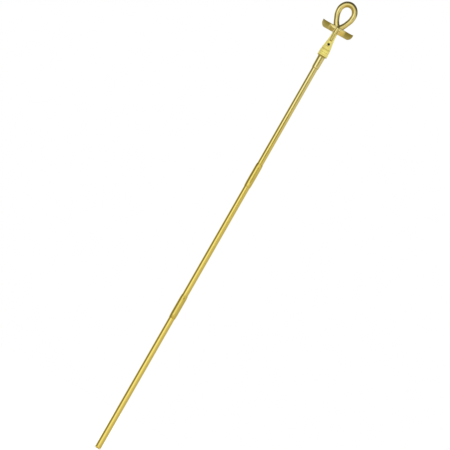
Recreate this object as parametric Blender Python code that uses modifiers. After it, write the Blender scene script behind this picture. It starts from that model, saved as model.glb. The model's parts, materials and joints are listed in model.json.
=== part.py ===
"""A sectional processional staff with an ankh head, in brass.

Three tube lengths stack on +Z and meet in long outer sleeves over inner spigots. A ferrule with a flanged
spigot caps the upper length, and the head's socket turns on that spigot until its set screw is tightened.
Metres, +Z up. The origin is the centre of the foot's flat face, and the head's front faces -Y.
"""

import math

import bmesh
import bpy
from mathutils import Matrix, Vector

# ---------------------------------------------------------------- general
GAP = 0.0003  # clearance between pieces that touch on the real object
TURNED_STEPS = 32  # facets round a turned piece
SMALL_STEPS = 24  # facets round a small one
AXIS_WELD = 0.00001
SMOOTH_ANGLE = math.radians(32)
SIDES = {"front": -1, "rear": 1}

# ---------------------------------------------------------------- staff
TUBE_RADIUS = 0.0095
TUBE_BORE = 0.0080
FOOT_CAP_HEIGHT = 0.0080
FOOT_EDGE_RADIUS = 0.0050
FOOT_SHANK_LENGTH = 0.0300

LOWER_JOINT_Z = 0.4960
UPPER_JOINT_Z = 0.9570
SLEEVE_LENGTH = 0.0800
SLEEVE_RADIUS = 0.0110
SLEEVE_BORE = TUBE_RADIUS + GAP
SLEEVE_TAPER = 0.0120
SLEEVE_LIP_RADIUS = SLEEVE_BORE + 0.0003  # the thin lip at each mouth of a sleeve
SLEEVE_SHOULDER = 0.0002  # how far the taper bows out from a straight cone
SLEEVE_BOW = 0.35  # where along the taper it bows most

SPIGOT_RADIUS = TUBE_BORE - GAP
SPIGOT_BORE = 0.0042
SPIGOT_REACH = 0.0500  # how far a spigot stands into each tube
SPIGOT_CHAMFER = 0.0012

ORING_SECTION = 0.0018
ORING_RADIUS = 0.0069  # to the middle of the section
GROOVE_WIDTH = ORING_SECTION + 2 * GAP
GROOVE_RADIUS = ORING_RADIUS - ORING_SECTION / 2 - GAP
GROOVE_FROM_TIP = 0.0120

# ---------------------------------------------------------------- head mount
FERRULE_BOTTOM_Z = 1.3340
SOCKET_MOUTH_Z = 1.3760
FERRULE_FOOT_RADIUS = 0.0111
FERRULE_TOP_RADIUS = 0.0116
FERRULE_TAPER = 0.0035
UPPER_TUBE_TOP_Z = 1.3900
FLANGE_HEIGHT = 0.0030
FERRULE_ROOF = 0.0030
FERRULE_CHAMFER = 0.0006
NOSE_RADIUS = 0.0060
NOSE_TOP_Z = 1.4245
SHANK_LENGTH = 0.0450

FLANGE_Z = UPPER_TUBE_TOP_Z + GAP
ROOF_Z = FLANGE_Z + FLANGE_HEIGHT + GAP
FERRULE_TOP_Z = ROOF_Z + FERRULE_ROOF

# ---------------------------------------------------------------- head socket
SOCKET_TOP_Z = 1.4568
SOCKET_NECK_RADIUS = 0.0083
SOCKET_FOOT_RADIUS = 0.0155
SOCKET_FLARE_TOP_Z = 1.4520
SOCKET_OUTLINE_STEPS = 9
FLARE_LATENESS = 1.15  # above 1, the flare keeps slim for longer below the neck
RING_TOP_Z = 1.3896
RING_BORE = 0.0139
RING_RADIUS = 0.01585
RING_ROLL = 0.0030
RING_BEAD_Z = 0.0014  # the waist between the ring's roll and its collar
RING_MOUTH_CHAMFER = 0.0004
LINE_Z = 1.3994  # the turned line round the socket
LINE_WIDTH = 0.0026
LINE_DEPTH = 0.0006
COUNTERBORE_RADIUS = FERRULE_TOP_RADIUS + GAP
COUNTERBORE_TOP_Z = FERRULE_TOP_Z + GAP
SOCKET_BORE = NOSE_RADIUS + GAP
WEB_Z = 1.4345  # underside of the solid web between the bore and the neck

SCREW_Z = 1.4175
SCREW_RADIUS = 0.0040
SCREW_HOLE_CLEARANCE = 0.0002
SPOT_FACE_RADIUS = 0.0080
SPOT_FACE_Y = -0.0112
SCREW_FACE_Y = SPOT_FACE_Y + GAP
PAD_THICKNESS = 0.0009
PAD_RADIUS = 0.0028
SCREW_CHAMFER = 0.0005
HEX_SOCKET_WIDTH = 0.0040  # across flats
HEX_SOCKET_DEPTH = 0.0023

# ---------------------------------------------------------------- ankh
CROSSBAR_TOP_Z = 1.4780
CROSSBAR_BOTTOM_Z = SOCKET_TOP_Z + GAP
CROSSBAR_HALF_WIDTH = 0.0522
BLOCK_HALF_WIDTH = 0.0090
WEDGE_END_X = 0.0290  # where the arm's wedge runs out and its thin blade begins
ARM_ROOT_DEPTH = 0.0090  # half depths, front to back, along the ridge
BLADE_DEPTH = 0.0032
BLADE_TIP_DEPTH = 0.0016
RIDGE_DROP = 0.0084  # the ridge runs this far below the top edge, as far out as its turn
RIDGE_DROP_END = 0.0010
RIDGE_TURN_X = 0.0165  # from here the ridge climbs to the top edge
TOP_SET_BACK = 0.0004  # how far the top edge stands behind the ridge
BOTTOM_SET_BACK = 0.0030  # the same for the bottom edge, as far out as its turn
BOTTOM_SET_BACK_END = 0.0005
BOTTOM_TURN_X = 0.0230
HEEL_START_X = 0.0380  # the arm's lower corner is a quarter ellipse from here
HEEL_RISE = 0.0177
TIP_FLARE = 0.0012
HEEL_STATIONS = 7

RIB_HALF_WIDTH = 0.0044
RIB_HALF_DEPTH = 0.0030
RIB_Y = 0.0102
RIB_BOTTOM_Z = 1.4290
RIB_TOP_Z = CROSSBAR_TOP_Z

TIE_ROD_Z = 1.4676
TIE_ROD_RADIUS = 0.0025
TIE_ROD_REACH = 0.0210
STUD_RADIUS = 0.0025
STUD_BOTTOM_Z = 1.4262
STUD_TOP_Z = 1.4620
NUT_ACROSS_FLATS = 0.0080
NUT_HEIGHT = 0.0040
WASHER_RADIUS = 0.0050
WASHER_THICKNESS = 0.0010

LOOP_HALF_WIDTH = 0.0249  # to the middle of the bar
LOOP_WIDEST_Z = 1.5270
LOOP_CREST_Z = 1.5554
LOOP_DROP_HANDLE = 0.0145
LOOP_THROAT = (0.0169, 1.4970)  # where the legs start to close towards each other
LOOP_THROAT_LEAN = math.radians(21.8)  # from upright
LOOP_THROAT_HANDLES = (0.0102, 0.0097)  # above the throat, below it
LOOP_FOOT = (0.0007, 1.4700)  # the bar is cut flat above this, on the crossbar's top
LOOP_FOOT_LEAN = math.radians(33.2)
LOOP_FOOT_HANDLE = 0.0093
BAR_RADIUS = 0.0088
BAR_CREST_RADIUS = 0.0096
BAR_THROAT_RADIUS = 0.0083
BAR_FOOT_RADIUS = 0.0098
CIRCLE_HANDLE = 0.5523  # handle length that makes a quarter ellipse
LOOP_STEPS = 8
BAR_RESOLUTION = 5
TANG_HALF_WIDTH = 0.0037
TANG_HALF_DEPTH = 0.0040
TANG_BOTTOM_Z = 1.4716
TANG_TOP_Z = 1.4810

# ---------------------------------------------------------------- colours: colour, roughness, metallic
POLISHED_BRASS = ((0.83, 0.66, 0.22), 0.22, 1.0)
CAST_BRASS = ((0.86, 0.72, 0.33), 0.34, 1.0)
PLAIN_BRASS = ((0.72, 0.56, 0.22), 0.40, 1.0)
BLACK_STEEL = ((0.05, 0.055, 0.05), 0.45, 1.0)
ZINC_STEEL = ((0.62, 0.63, 0.64), 0.35, 1.0)
BLACK_RUBBER = ((0.03, 0.03, 0.03), 0.75, 0.0)


# ---------------------------------------------------------------- scene helpers
def clear_scene():
    for existing in list(bpy.data.objects):
        bpy.data.objects.remove(existing, do_unlink=True)


def new_collection(name, hidden=False):
    collection = bpy.data.collections.new(name)
    bpy.context.scene.collection.children.link(collection)
    collection.hide_render = hidden
    return collection


def material(name, look):
    colour, roughness, metallic = look
    made = bpy.data.materials.new(name)
    made.use_nodes = True
    shader = made.node_tree.nodes["Principled BSDF"]
    shader.inputs["Base Color"].default_value = (*colour, 1.0)
    shader.inputs["Roughness"].default_value = roughness
    shader.inputs["Metallic"].default_value = metallic
    made.diffuse_color = (*colour, 1.0)
    return made


def add_object(name, data, look):
    """Puts a mesh or curve in the staff's collection, with a material of its own."""
    obj = bpy.data.objects.new(name, data)
    data.materials.append(material(name, look))
    STAFF.objects.link(obj)
    return obj


def as_cutter(obj):
    STAFF.objects.unlink(obj)
    CUTTERS.objects.link(obj)
    obj.hide_render = True
    obj.display_type = "WIRE"
    return obj


def made_solid(obj):
    """Turns the object's curve or modifiers into one plain mesh, smooth except at its edges."""
    bpy.context.view_layer.update()
    evaluated = obj.evaluated_get(bpy.context.evaluated_depsgraph_get())
    mesh = bpy.data.meshes.new_from_object(evaluated)
    cleaned = bmesh.new()
    cleaned.from_mesh(mesh)
    bmesh.ops.remove_doubles(cleaned, verts=cleaned.verts, dist=AXIS_WELD)
    bmesh.ops.recalc_face_normals(cleaned, faces=cleaned.faces)
    cleaned.to_mesh(mesh)
    cleaned.free()
    mesh.shade_smooth()
    mesh.set_sharp_from_angle(angle=SMOOTH_ANGLE)
    return mesh


def join_shape(obj, other, operation, crosses_itself=False):
    change = obj.modifiers.new(f"{operation} {other.name}", "BOOLEAN")
    change.use_self = crosses_itself
    change.operation = operation
    change.solver = "EXACT"
    change.object = other


def turned(name, outline, look, place=(0, 0, 0), hollow=False, steps=TURNED_STEPS):
    """A turned piece. Its outline, (radius, height) points, runs down the outside and up any bore."""
    mesh = bpy.data.meshes.new(name)
    points = [(radius, 0.0, height) for radius, height in outline]
    edges = [(i, i + 1) for i in range(len(points) - 1)]
    if hollow:
        edges.append((len(points) - 1, 0))
    mesh.from_pydata(points, edges, [])
    obj = add_object(name, mesh, look)
    screw = obj.modifiers.new("Turn", "SCREW")
    screw.axis = "Z"
    screw.steps = steps
    screw.render_steps = steps
    screw.use_merge_vertices = True
    screw.merge_threshold = AXIS_WELD
    obj.data = made_solid(obj)
    obj.modifiers.clear()
    obj.location = place
    return obj


def box(name, low, high, look):
    built = bmesh.new()
    bmesh.ops.create_cube(built, size=1.0)
    low = Vector(low)
    high = Vector(high)
    size = Matrix.Diagonal((*(high - low), 1.0))
    bmesh.ops.transform(built, matrix=Matrix.Translation((low + high) / 2) @ size, verts=built.verts)
    mesh = bpy.data.meshes.new(name)
    built.to_mesh(mesh)
    built.free()
    return add_object(name, mesh, look)


def prism(name, radius, length, sides, look, turn=0.0):
    """A prism on the Z axis from 0 up to length. radius is to its corners."""
    built = bmesh.new()
    bmesh.ops.create_cone(
        built, cap_ends=True, segments=sides, radius1=radius, radius2=radius, depth=length
    )
    lift = Matrix.Translation((0, 0, length / 2)) @ Matrix.Rotation(turn, 4, "Z")
    bmesh.ops.transform(built, matrix=lift, verts=built.verts)
    mesh = bpy.data.meshes.new(name)
    built.to_mesh(mesh)
    built.free()
    return add_object(name, mesh, look)


def arc(centre, radius, start, end, steps):
    """Points on an arc in (radius, height) space. Angles are in degrees, 0 along +radius and 90 up."""
    points = []
    for i in range(steps + 1):
        angle = math.radians(start + (end - start) * i / steps)
        points.append((centre[0] + radius * math.cos(angle), centre[1] + radius * math.sin(angle)))
    return points


def add_pivot(name, place):
    """An empty on a moving body's joint axis, which carries that body's pieces."""
    pivot = bpy.data.objects.new(name, None)
    pivot.location = place
    pivot.empty_display_size = 0.02
    STAFF.objects.link(pivot)
    return pivot


def carry(pivot, *pieces):
    for piece in pieces:
        piece.parent = pivot
        piece.matrix_parent_inverse = Matrix.Translation(pivot.location).inverted()


# ---------------------------------------------------------------- staff pieces
def tube(name, bottom, top):
    outline = [(TUBE_RADIUS, top), (TUBE_RADIUS, bottom), (TUBE_BORE, bottom), (TUBE_BORE, top)]
    return turned(name, outline, POLISHED_BRASS, hollow=True)


def foot_plug():
    shoulder = FOOT_CAP_HEIGHT
    top = shoulder + FOOT_SHANK_LENGTH
    corner = (TUBE_RADIUS - FOOT_EDGE_RADIUS, FOOT_EDGE_RADIUS)
    outline = [
        (0.0, top),
        (SPIGOT_RADIUS - SPIGOT_CHAMFER, top),
        (SPIGOT_RADIUS, top - SPIGOT_CHAMFER),
        (SPIGOT_RADIUS, shoulder),
        (TUBE_RADIUS, shoulder),
        *arc(corner, FOOT_EDGE_RADIUS, 0, -90, 5),
        (0.0, 0.0),
    ]
    return turned("foot_plug", outline, POLISHED_BRASS)


def joint_sleeve(name, joint_z):
    """An outer sleeve centred on a joint, eased down to a thin lip at each mouth."""
    half = SLEEVE_LENGTH / 2
    bowed = (SLEEVE_LIP_RADIUS + SLEEVE_RADIUS) / 2 + SLEEVE_SHOULDER
    outline = [
        (SLEEVE_LIP_RADIUS, half),
        (bowed, half - SLEEVE_TAPER * SLEEVE_BOW),
        (SLEEVE_RADIUS, half - SLEEVE_TAPER),
        (SLEEVE_RADIUS, SLEEVE_TAPER - half),
        (bowed, SLEEVE_TAPER * SLEEVE_BOW - half),
        (SLEEVE_LIP_RADIUS, -half),
        (SLEEVE_BORE, -half),
        (SLEEVE_BORE, half),
    ]
    return turned(name, outline, POLISHED_BRASS, (0, 0, joint_z), hollow=True)


def grooved_side(radius, tip, direction):
    """The side of a spigot past its O-ring groove, going down (-1) or up (+1) from its tip."""
    near = tip + direction * (GROOVE_FROM_TIP - GROOVE_WIDTH / 2)
    far = tip + direction * (GROOVE_FROM_TIP + GROOVE_WIDTH / 2)
    return [
        (radius - SPIGOT_CHAMFER, tip),
        (radius, tip + direction * SPIGOT_CHAMFER),
        (radius, near),
        (GROOVE_RADIUS, near),
        (GROOVE_RADIUS, far),
        (radius, far),
    ]


def joint_spigot(name, joint_z):
    outline = [
        *grooved_side(SPIGOT_RADIUS, SPIGOT_REACH, -1),
        (SPIGOT_RADIUS, SPIGOT_CHAMFER - SPIGOT_REACH),
        (SPIGOT_RADIUS - SPIGOT_CHAMFER, -SPIGOT_REACH),
        (SPIGOT_BORE, -SPIGOT_REACH),
        (SPIGOT_BORE, SPIGOT_REACH),
    ]
    return turned(name, outline, PLAIN_BRASS, (0, 0, joint_z), hollow=True)


def oring(name, place_z):
    ring = arc((ORING_RADIUS, 0.0), ORING_SECTION / 2, 90, -225, 7)
    return turned(name, ring, BLACK_RUBBER, (0, 0, place_z), hollow=True, steps=SMALL_STEPS)


# ---------------------------------------------------------------- head mount pieces
def head_ferrule():
    bowed = (SLEEVE_LIP_RADIUS + FERRULE_FOOT_RADIUS) / 2 + SLEEVE_SHOULDER
    outline = [
        (FERRULE_TOP_RADIUS - FERRULE_CHAMFER, FERRULE_TOP_Z),
        (FERRULE_TOP_RADIUS, FERRULE_TOP_Z - FERRULE_CHAMFER),
        (FERRULE_TOP_RADIUS, SOCKET_MOUTH_Z - FERRULE_TAPER),
        (FERRULE_FOOT_RADIUS, FERRULE_BOTTOM_Z + FERRULE_TAPER),
        (bowed, FERRULE_BOTTOM_Z + FERRULE_TAPER * SLEEVE_BOW),
        (SLEEVE_LIP_RADIUS, FERRULE_BOTTOM_Z),
        (SLEEVE_BORE, FERRULE_BOTTOM_Z),
        (SLEEVE_BORE, ROOF_Z),
        (NOSE_RADIUS + GAP, ROOF_Z),
        (NOSE_RADIUS + GAP, FERRULE_TOP_Z),
    ]
    return turned("head_ferrule", outline, POLISHED_BRASS, hollow=True)


def head_spigot():
    shank_tip = FLANGE_Z - SHANK_LENGTH
    outline = [
        (0.0, NOSE_TOP_Z),
        (NOSE_RADIUS - SPIGOT_CHAMFER, NOSE_TOP_Z),
        (NOSE_RADIUS, NOSE_TOP_Z - SPIGOT_CHAMFER),
        (NOSE_RADIUS, FLANGE_Z + FLANGE_HEIGHT),
        (TUBE_RADIUS, FLANGE_Z + FLANGE_HEIGHT),
        (TUBE_RADIUS, FLANGE_Z),
        (SPIGOT_RADIUS, FLANGE_Z),
        *reversed(grooved_side(SPIGOT_RADIUS, shank_tip, 1)),
        (0.0, shank_tip),
    ]
    return turned("head_spigot", outline, PLAIN_BRASS)


# ---------------------------------------------------------------- head socket pieces
def socket_radius(height):
    """The flare of the socket's outside: an eased curve from the neck to the foot."""
    share = (SOCKET_FLARE_TOP_Z - height) / (SOCKET_FLARE_TOP_Z - RING_TOP_Z)
    share = min(max(share, 0.0), 1.0) ** FLARE_LATENESS
    eased = 0.75 * share * share * (3 - 2 * share) + 0.25 * share
    return SOCKET_NECK_RADIUS + (SOCKET_FOOT_RADIUS - SOCKET_NECK_RADIUS) * eased


def flare_points(top, bottom, steps):
    heights = [top + (bottom - top) * i / steps for i in range(steps + 1)]
    return [(socket_radius(height), height) for height in heights]


def head_socket():
    line_top = LINE_Z + LINE_WIDTH / 2
    line_bottom = LINE_Z - LINE_WIDTH / 2
    line_radius = socket_radius(LINE_Z) - LINE_DEPTH
    outline = [
        (STUD_RADIUS + GAP, SOCKET_TOP_Z),
        (SOCKET_NECK_RADIUS, SOCKET_TOP_Z),
        *flare_points(SOCKET_FLARE_TOP_Z, line_top, SOCKET_OUTLINE_STEPS),
        (line_radius, line_top - LINE_DEPTH),
        (line_radius, line_bottom + LINE_DEPTH),
        *flare_points(line_bottom, RING_TOP_Z, 3),
        (RING_BORE - GAP, RING_TOP_Z),
        (RING_BORE - GAP, SOCKET_MOUTH_Z),
        (COUNTERBORE_RADIUS, SOCKET_MOUTH_Z),
        (COUNTERBORE_RADIUS, COUNTERBORE_TOP_Z),
        (SOCKET_BORE, COUNTERBORE_TOP_Z),
        (SOCKET_BORE, WEB_Z),
        (STUD_RADIUS + GAP, WEB_Z),
    ]
    socket = turned("head_socket", outline, CAST_BRASS, hollow=True)
    for label, side in SIDES.items():
        seat = as_cutter(rib(f"rib_seat_{label}", side, GAP))
        join_shape(socket, seat, "DIFFERENCE")
    reach = SOCKET_FOOT_RADIUS
    spot_face = as_cutter(prism("spot_face", SPOT_FACE_RADIUS, reach, SMALL_STEPS, CAST_BRASS))
    lay_forward(spot_face, SPOT_FACE_Y)
    join_shape(socket, spot_face, "DIFFERENCE")
    hole_radius = SCREW_RADIUS + SCREW_HOLE_CLEARANCE
    screw_hole = as_cutter(prism("screw_hole", hole_radius, reach, SMALL_STEPS, CAST_BRASS))
    lay_forward(screw_hole, -SOCKET_BORE / 2)
    join_shape(socket, screw_hole, "DIFFERENCE")
    return socket


def lay_forward(obj, start_y):
    """Lays a piece built up the Z axis along -Y, at the set screw's height, starting at start_y."""
    obj.rotation_euler = (math.radians(90), 0, 0)
    obj.location = (0, start_y, SCREW_Z)


def socket_base_ring():
    """A collar round the socket's mouth, with a rolled lip at its foot."""
    bottom = SOCKET_MOUTH_Z
    top = RING_TOP_Z - GAP
    roll_centre = (RING_RADIUS - RING_ROLL, bottom + RING_ROLL)
    upper_roll_centre = (RING_RADIUS - RING_ROLL, bottom + RING_ROLL + RING_BEAD_Z)
    outline = [
        (RING_BORE, top),
        (SOCKET_FOOT_RADIUS - GAP, top),
        (SOCKET_FOOT_RADIUS, upper_roll_centre[1] + RING_ROLL),
        *arc(upper_roll_centre, RING_ROLL, 30, 0, 2),
        *arc(roll_centre, RING_ROLL, 0, -60, 4),
        (RING_BORE + RING_MOUTH_CHAMFER, bottom),
        (RING_BORE, bottom + RING_MOUTH_CHAMFER),
    ]
    return turned("socket_base_ring", outline, CAST_BRASS, hollow=True)


# ---------------------------------------------------------------- clamp screw
def set_screw():
    length = abs(SCREW_FACE_Y) - (NOSE_RADIUS + GAP + PAD_THICKNESS + GAP)
    outline = [
        (0.0, length),
        (SCREW_RADIUS - SCREW_CHAMFER, length),
        (SCREW_RADIUS, length - SCREW_CHAMFER),
        (SCREW_RADIUS, SCREW_CHAMFER),
        (SCREW_RADIUS - SCREW_CHAMFER, 0.0),
        (0.0, 0.0),
    ]
    screw = turned("set_screw", outline, BLACK_STEEL, steps=SMALL_STEPS)
    lay_forward(screw, SCREW_FACE_Y + length)
    corner = HEX_SOCKET_WIDTH / math.sqrt(3)
    key = as_cutter(prism("hex_key", corner, 2 * HEX_SOCKET_DEPTH, 6, BLACK_STEEL))
    lay_forward(key, SCREW_FACE_Y + HEX_SOCKET_DEPTH)
    join_shape(screw, key, "DIFFERENCE")
    return screw


def set_screw_pad():
    pad = prism("set_screw_pad", PAD_RADIUS, PAD_THICKNESS, 20, PLAIN_BRASS)
    lay_forward(pad, -NOSE_RADIUS - GAP)
    return pad


# ---------------------------------------------------------------- ankh pieces
def blend(start, end, share):
    return start + (end - start) * min(max(share, 0.0), 1.0)


def arm_section(x):
    """The arm's outline at x, as (y, z) points, with a ridge down its front and its back."""
    past_root = (x - BLOCK_HALF_WIDTH) / (WEDGE_END_X - BLOCK_HALF_WIDTH)
    past_wedge = (x - WEDGE_END_X) / (CROSSBAR_HALF_WIDTH - WEDGE_END_X)
    depth = blend(ARM_ROOT_DEPTH, BLADE_DEPTH, past_root)
    if x > WEDGE_END_X:
        depth = blend(BLADE_DEPTH, BLADE_TIP_DEPTH, past_wedge)
    heel = min(max((x - HEEL_START_X) / (CROSSBAR_HALF_WIDTH - HEEL_START_X), 0.0), 1.0)
    low = CROSSBAR_BOTTOM_Z + HEEL_RISE * (1 - math.sqrt(1 - heel * heel))
    high = CROSSBAR_TOP_Z + TIP_FLARE * heel * heel
    past_turn = (x - RIDGE_TURN_X) / (WEDGE_END_X - RIDGE_TURN_X)
    ridge = high - blend(RIDGE_DROP, RIDGE_DROP_END, past_turn)
    past_bottom_turn = (x - BOTTOM_TURN_X) / (WEDGE_END_X - BOTTOM_TURN_X)
    front = [
        (blend(BOTTOM_SET_BACK, BOTTOM_SET_BACK_END, past_bottom_turn) - depth, low),
        (-depth, ridge),
        (TOP_SET_BACK - depth, high),
    ]
    return front + [(-y, z) for y, z in reversed(front)]


def loft(name, stations, look):
    """A solid through the arm's outlines at each x in stations. Unlike sections need a loft."""
    built = bmesh.new()
    rings = []
    for x in stations:
        rings.append([built.verts.new((x, y, z)) for y, z in arm_section(abs(x))])
    for near, far in zip(rings, rings[1:]):
        count = len(near)
        for i in range(count):
            built.faces.new((near[i], near[(i + 1) % count], far[(i + 1) % count], far[i]))
    built.faces.new(rings[0])
    built.faces.new(rings[-1])
    bmesh.ops.recalc_face_normals(built, faces=built.faces)
    mesh = bpy.data.meshes.new(name)
    built.to_mesh(mesh)
    built.free()
    return add_object(name, mesh, look)


def crossbar_arm(name, side):
    start = BLOCK_HALF_WIDTH + GAP
    stations = [start, (start + RIDGE_TURN_X) / 2, RIDGE_TURN_X, BOTTOM_TURN_X]
    stations += [(BOTTOM_TURN_X + WEDGE_END_X) / 2, WEDGE_END_X]
    for i in range(HEEL_STATIONS + 1):
        turn = math.radians(90 * i / HEEL_STATIONS)
        stations.append(HEEL_START_X + (CROSSBAR_HALF_WIDTH - HEEL_START_X) * math.sin(turn))
    arm = loft(name, [side * x for x in stations], POLISHED_BRASS)
    hole_length = TIE_ROD_REACH + GAP
    hole = as_cutter(prism(f"{name}_hole", TIE_ROD_RADIUS + GAP, hole_length, 20, PLAIN_BRASS))
    hole.rotation_euler = (0, math.radians(90 * side), 0)
    hole.location = (0, 0, TIE_ROD_Z)
    join_shape(arm, hole, "DIFFERENCE")
    return arm


def rib(name, side, clearance=0.0):
    """A round-ended, flattened rib down the front (side -1) or back (side +1) of the stem."""
    half_width = RIB_HALF_WIDTH + clearance
    half_depth = RIB_HALF_DEPTH + clearance
    bottom = RIB_BOTTOM_Z + RIB_HALF_WIDTH
    top = RIB_TOP_Z - RIB_HALF_WIDTH
    outline = [
        (0.0, top + half_width),
        *arc((0.0, top), half_width, 75, 0, 5),
        *arc((0.0, bottom), half_width, 0, -75, 5),
        (0.0, bottom - half_width),
    ]
    made = turned(name, outline, POLISHED_BRASS, (0, side * RIB_Y, 0), steps=20)
    made.data.transform(Matrix.Diagonal((1.0, half_depth / half_width, 1.0, 1.0)))
    return made


def ankh_stem():
    stem = loft("ankh_stem", [-BLOCK_HALF_WIDTH, BLOCK_HALF_WIDTH], POLISHED_BRASS)
    for label, side in SIDES.items():
        join_shape(stem, as_cutter(rib(f"rib_{label}", side)), "UNION")
    rod_hole = as_cutter(
        prism("stem_rod_hole", TIE_ROD_RADIUS + GAP, 4 * BLOCK_HALF_WIDTH, 20, PLAIN_BRASS)
    )
    rod_hole.rotation_euler = (0, math.radians(90), 0)
    rod_hole.location = (-2 * BLOCK_HALF_WIDTH, 0, TIE_ROD_Z)
    join_shape(stem, rod_hole, "DIFFERENCE")
    stud_hole = as_cutter(
        prism("stem_stud_hole", STUD_RADIUS + GAP, STUD_TOP_Z + GAP - SOCKET_TOP_Z, 20, PLAIN_BRASS)
    )
    stud_hole.location = (0, 0, SOCKET_TOP_Z)
    join_shape(stem, stud_hole, "DIFFERENCE")
    pocket = as_cutter(
        box(
            "tang_pocket",
            (-TANG_HALF_WIDTH - GAP, -TANG_HALF_DEPTH - GAP, TANG_BOTTOM_Z - GAP),
            (TANG_HALF_WIDTH + GAP, TANG_HALF_DEPTH + GAP, RIB_TOP_Z + GAP),
            PLAIN_BRASS,
        )
    )
    join_shape(stem, pocket, "DIFFERENCE")
    return stem


def crossbar_tie_rod():
    rod = prism("crossbar_tie_rod", TIE_ROD_RADIUS, 2 * TIE_ROD_REACH, 20, ZINC_STEEL)
    rod.rotation_euler = (0, math.radians(90), 0)
    rod.location = (-TIE_ROD_REACH, 0, TIE_ROD_Z)
    return rod


def leaning(length, lean):
    """A handle of this length, leaning outward from upright."""
    return (length * math.sin(lean), length * math.cos(lean))


def reversed_handle(handle):
    return (-handle[0], -handle[1])


def ankh_loop():
    """A teardrop of round bar whose legs run together, cut flat on the crossbar, with a tang below."""
    crest_handle = CIRCLE_HANDLE * LOOP_HALF_WIDTH
    side_handle = CIRCLE_HANDLE * (LOOP_CREST_Z - LOOP_WIDEST_Z)
    throat_up = leaning(LOOP_THROAT_HANDLES[0], LOOP_THROAT_LEAN)
    throat_down = leaning(LOOP_THROAT_HANDLES[1], LOOP_THROAT_LEAN)
    right = [
        ((LOOP_HALF_WIDTH, LOOP_WIDEST_Z), (0.0, side_handle), (0.0, -LOOP_DROP_HANDLE), BAR_RADIUS),
        (LOOP_THROAT, throat_up, reversed_handle(throat_down), BAR_THROAT_RADIUS),
        (LOOP_FOOT, leaning(LOOP_FOOT_HANDLE, LOOP_FOOT_LEAN), (0.0, 0.0), BAR_FOOT_RADIUS),
    ]
    left = []
    for (x, z), before, after, radius in reversed(right):
        left.append(((-x, z), (-after[0], after[1]), (-before[0], before[1]), radius))
    crest = ((0.0, LOOP_CREST_Z), (-crest_handle, 0.0), (crest_handle, 0.0), BAR_CREST_RADIUS)
    path = [*left, crest, *right]

    curve = bpy.data.curves.new("ankh_loop", "CURVE")
    curve.dimensions = "3D"
    curve.bevel_depth = BAR_RADIUS
    curve.bevel_resolution = BAR_RESOLUTION
    curve.resolution_u = LOOP_STEPS
    curve.use_fill_caps = True
    spline = curve.splines.new("BEZIER")
    spline.bezier_points.add(len(path) - 1)
    for point, ((x, z), before, after, radius) in zip(spline.bezier_points, path):
        point.co = (x, 0, z)
        point.handle_left = (x + before[0], 0, z + before[1])
        point.handle_right = (x + after[0], 0, z + after[1])
        point.radius = radius / BAR_RADIUS
    bar = bpy.data.objects.new("bar", curve)
    STAFF.objects.link(bar)
    mesh = made_solid(bar)
    bpy.data.objects.remove(bar, do_unlink=True)

    loop = add_object("ankh_loop", mesh, POLISHED_BRASS)
    wide = 2 * LOOP_HALF_WIDTH
    low = (-wide, -wide, LOOP_FOOT[1] - wide)
    high = (wide, wide, CROSSBAR_TOP_Z + GAP)
    seat = as_cutter(box("loop_seat", low, high, PLAIN_BRASS))
    join_shape(loop, seat, "DIFFERENCE", crosses_itself=True)
    tang = as_cutter(
        box(
            "loop_tang",
            (-TANG_HALF_WIDTH, -TANG_HALF_DEPTH, TANG_BOTTOM_Z),
            (TANG_HALF_WIDTH, TANG_HALF_DEPTH, TANG_TOP_Z),
            PLAIN_BRASS,
        )
    )
    join_shape(loop, tang, "UNION")
    return loop


def head_stud():
    stud = prism("head_stud", STUD_RADIUS, STUD_TOP_Z - STUD_BOTTOM_Z, 20, ZINC_STEEL)
    stud.location = (0, 0, STUD_BOTTOM_Z)
    return stud


def bored(obj, length):
    """Cuts the stud's clearance hole through a nut or washer that stands on the Z axis."""
    bore = as_cutter(prism(f"{obj.name}_bore", STUD_RADIUS + GAP, 3 * length, 20, ZINC_STEEL))
    bore.location = obj.location - Vector((0, 0, length))
    join_shape(obj, bore, "DIFFERENCE")
    return obj


def stud_washer():
    washer = prism("stud_washer", WASHER_RADIUS, WASHER_THICKNESS, 24, ZINC_STEEL)
    washer.location = (0, 0, WEB_Z - GAP - WASHER_THICKNESS)
    return bored(washer, WASHER_THICKNESS)


def stud_nut():
    nut = prism("stud_nut", NUT_ACROSS_FLATS / math.sqrt(3), NUT_HEIGHT, 6, ZINC_STEEL)
    nut.location = (0, 0, WEB_Z - 2 * GAP - WASHER_THICKNESS - NUT_HEIGHT)
    return bored(nut, NUT_HEIGHT)


# ---------------------------------------------------------------- assembly
def build_lower_section():
    tube("lower_tube", FOOT_CAP_HEIGHT + GAP, LOWER_JOINT_Z)
    foot_plug()
    joint_sleeve("lower_joint_sleeve", LOWER_JOINT_Z)
    joint_spigot("lower_joint_spigot", LOWER_JOINT_Z)
    oring("lower_joint_oring", LOWER_JOINT_Z + SPIGOT_REACH - GROOVE_FROM_TIP)


def build_middle_section():
    pivot = add_pivot("middle_section", (0, 0, LOWER_JOINT_Z))
    carry(
        pivot,
        tube("middle_tube", LOWER_JOINT_Z + GAP, UPPER_JOINT_Z),
        joint_sleeve("upper_joint_sleeve", UPPER_JOINT_Z),
        joint_spigot("upper_joint_spigot", UPPER_JOINT_Z),
        oring("upper_joint_oring", UPPER_JOINT_Z + SPIGOT_REACH - GROOVE_FROM_TIP),
    )


def build_upper_section():
    pivot = add_pivot("upper_section", (0, 0, UPPER_JOINT_Z))
    carry(pivot, tube("upper_tube", UPPER_JOINT_Z + GAP, UPPER_TUBE_TOP_Z))


def build_head_mount():
    pivot = add_pivot("head_mount", (0, 0, FLANGE_Z))
    oring_z = FLANGE_Z - SHANK_LENGTH + GROOVE_FROM_TIP
    carry(pivot, head_ferrule(), head_spigot(), oring("head_mount_oring", oring_z))


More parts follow.
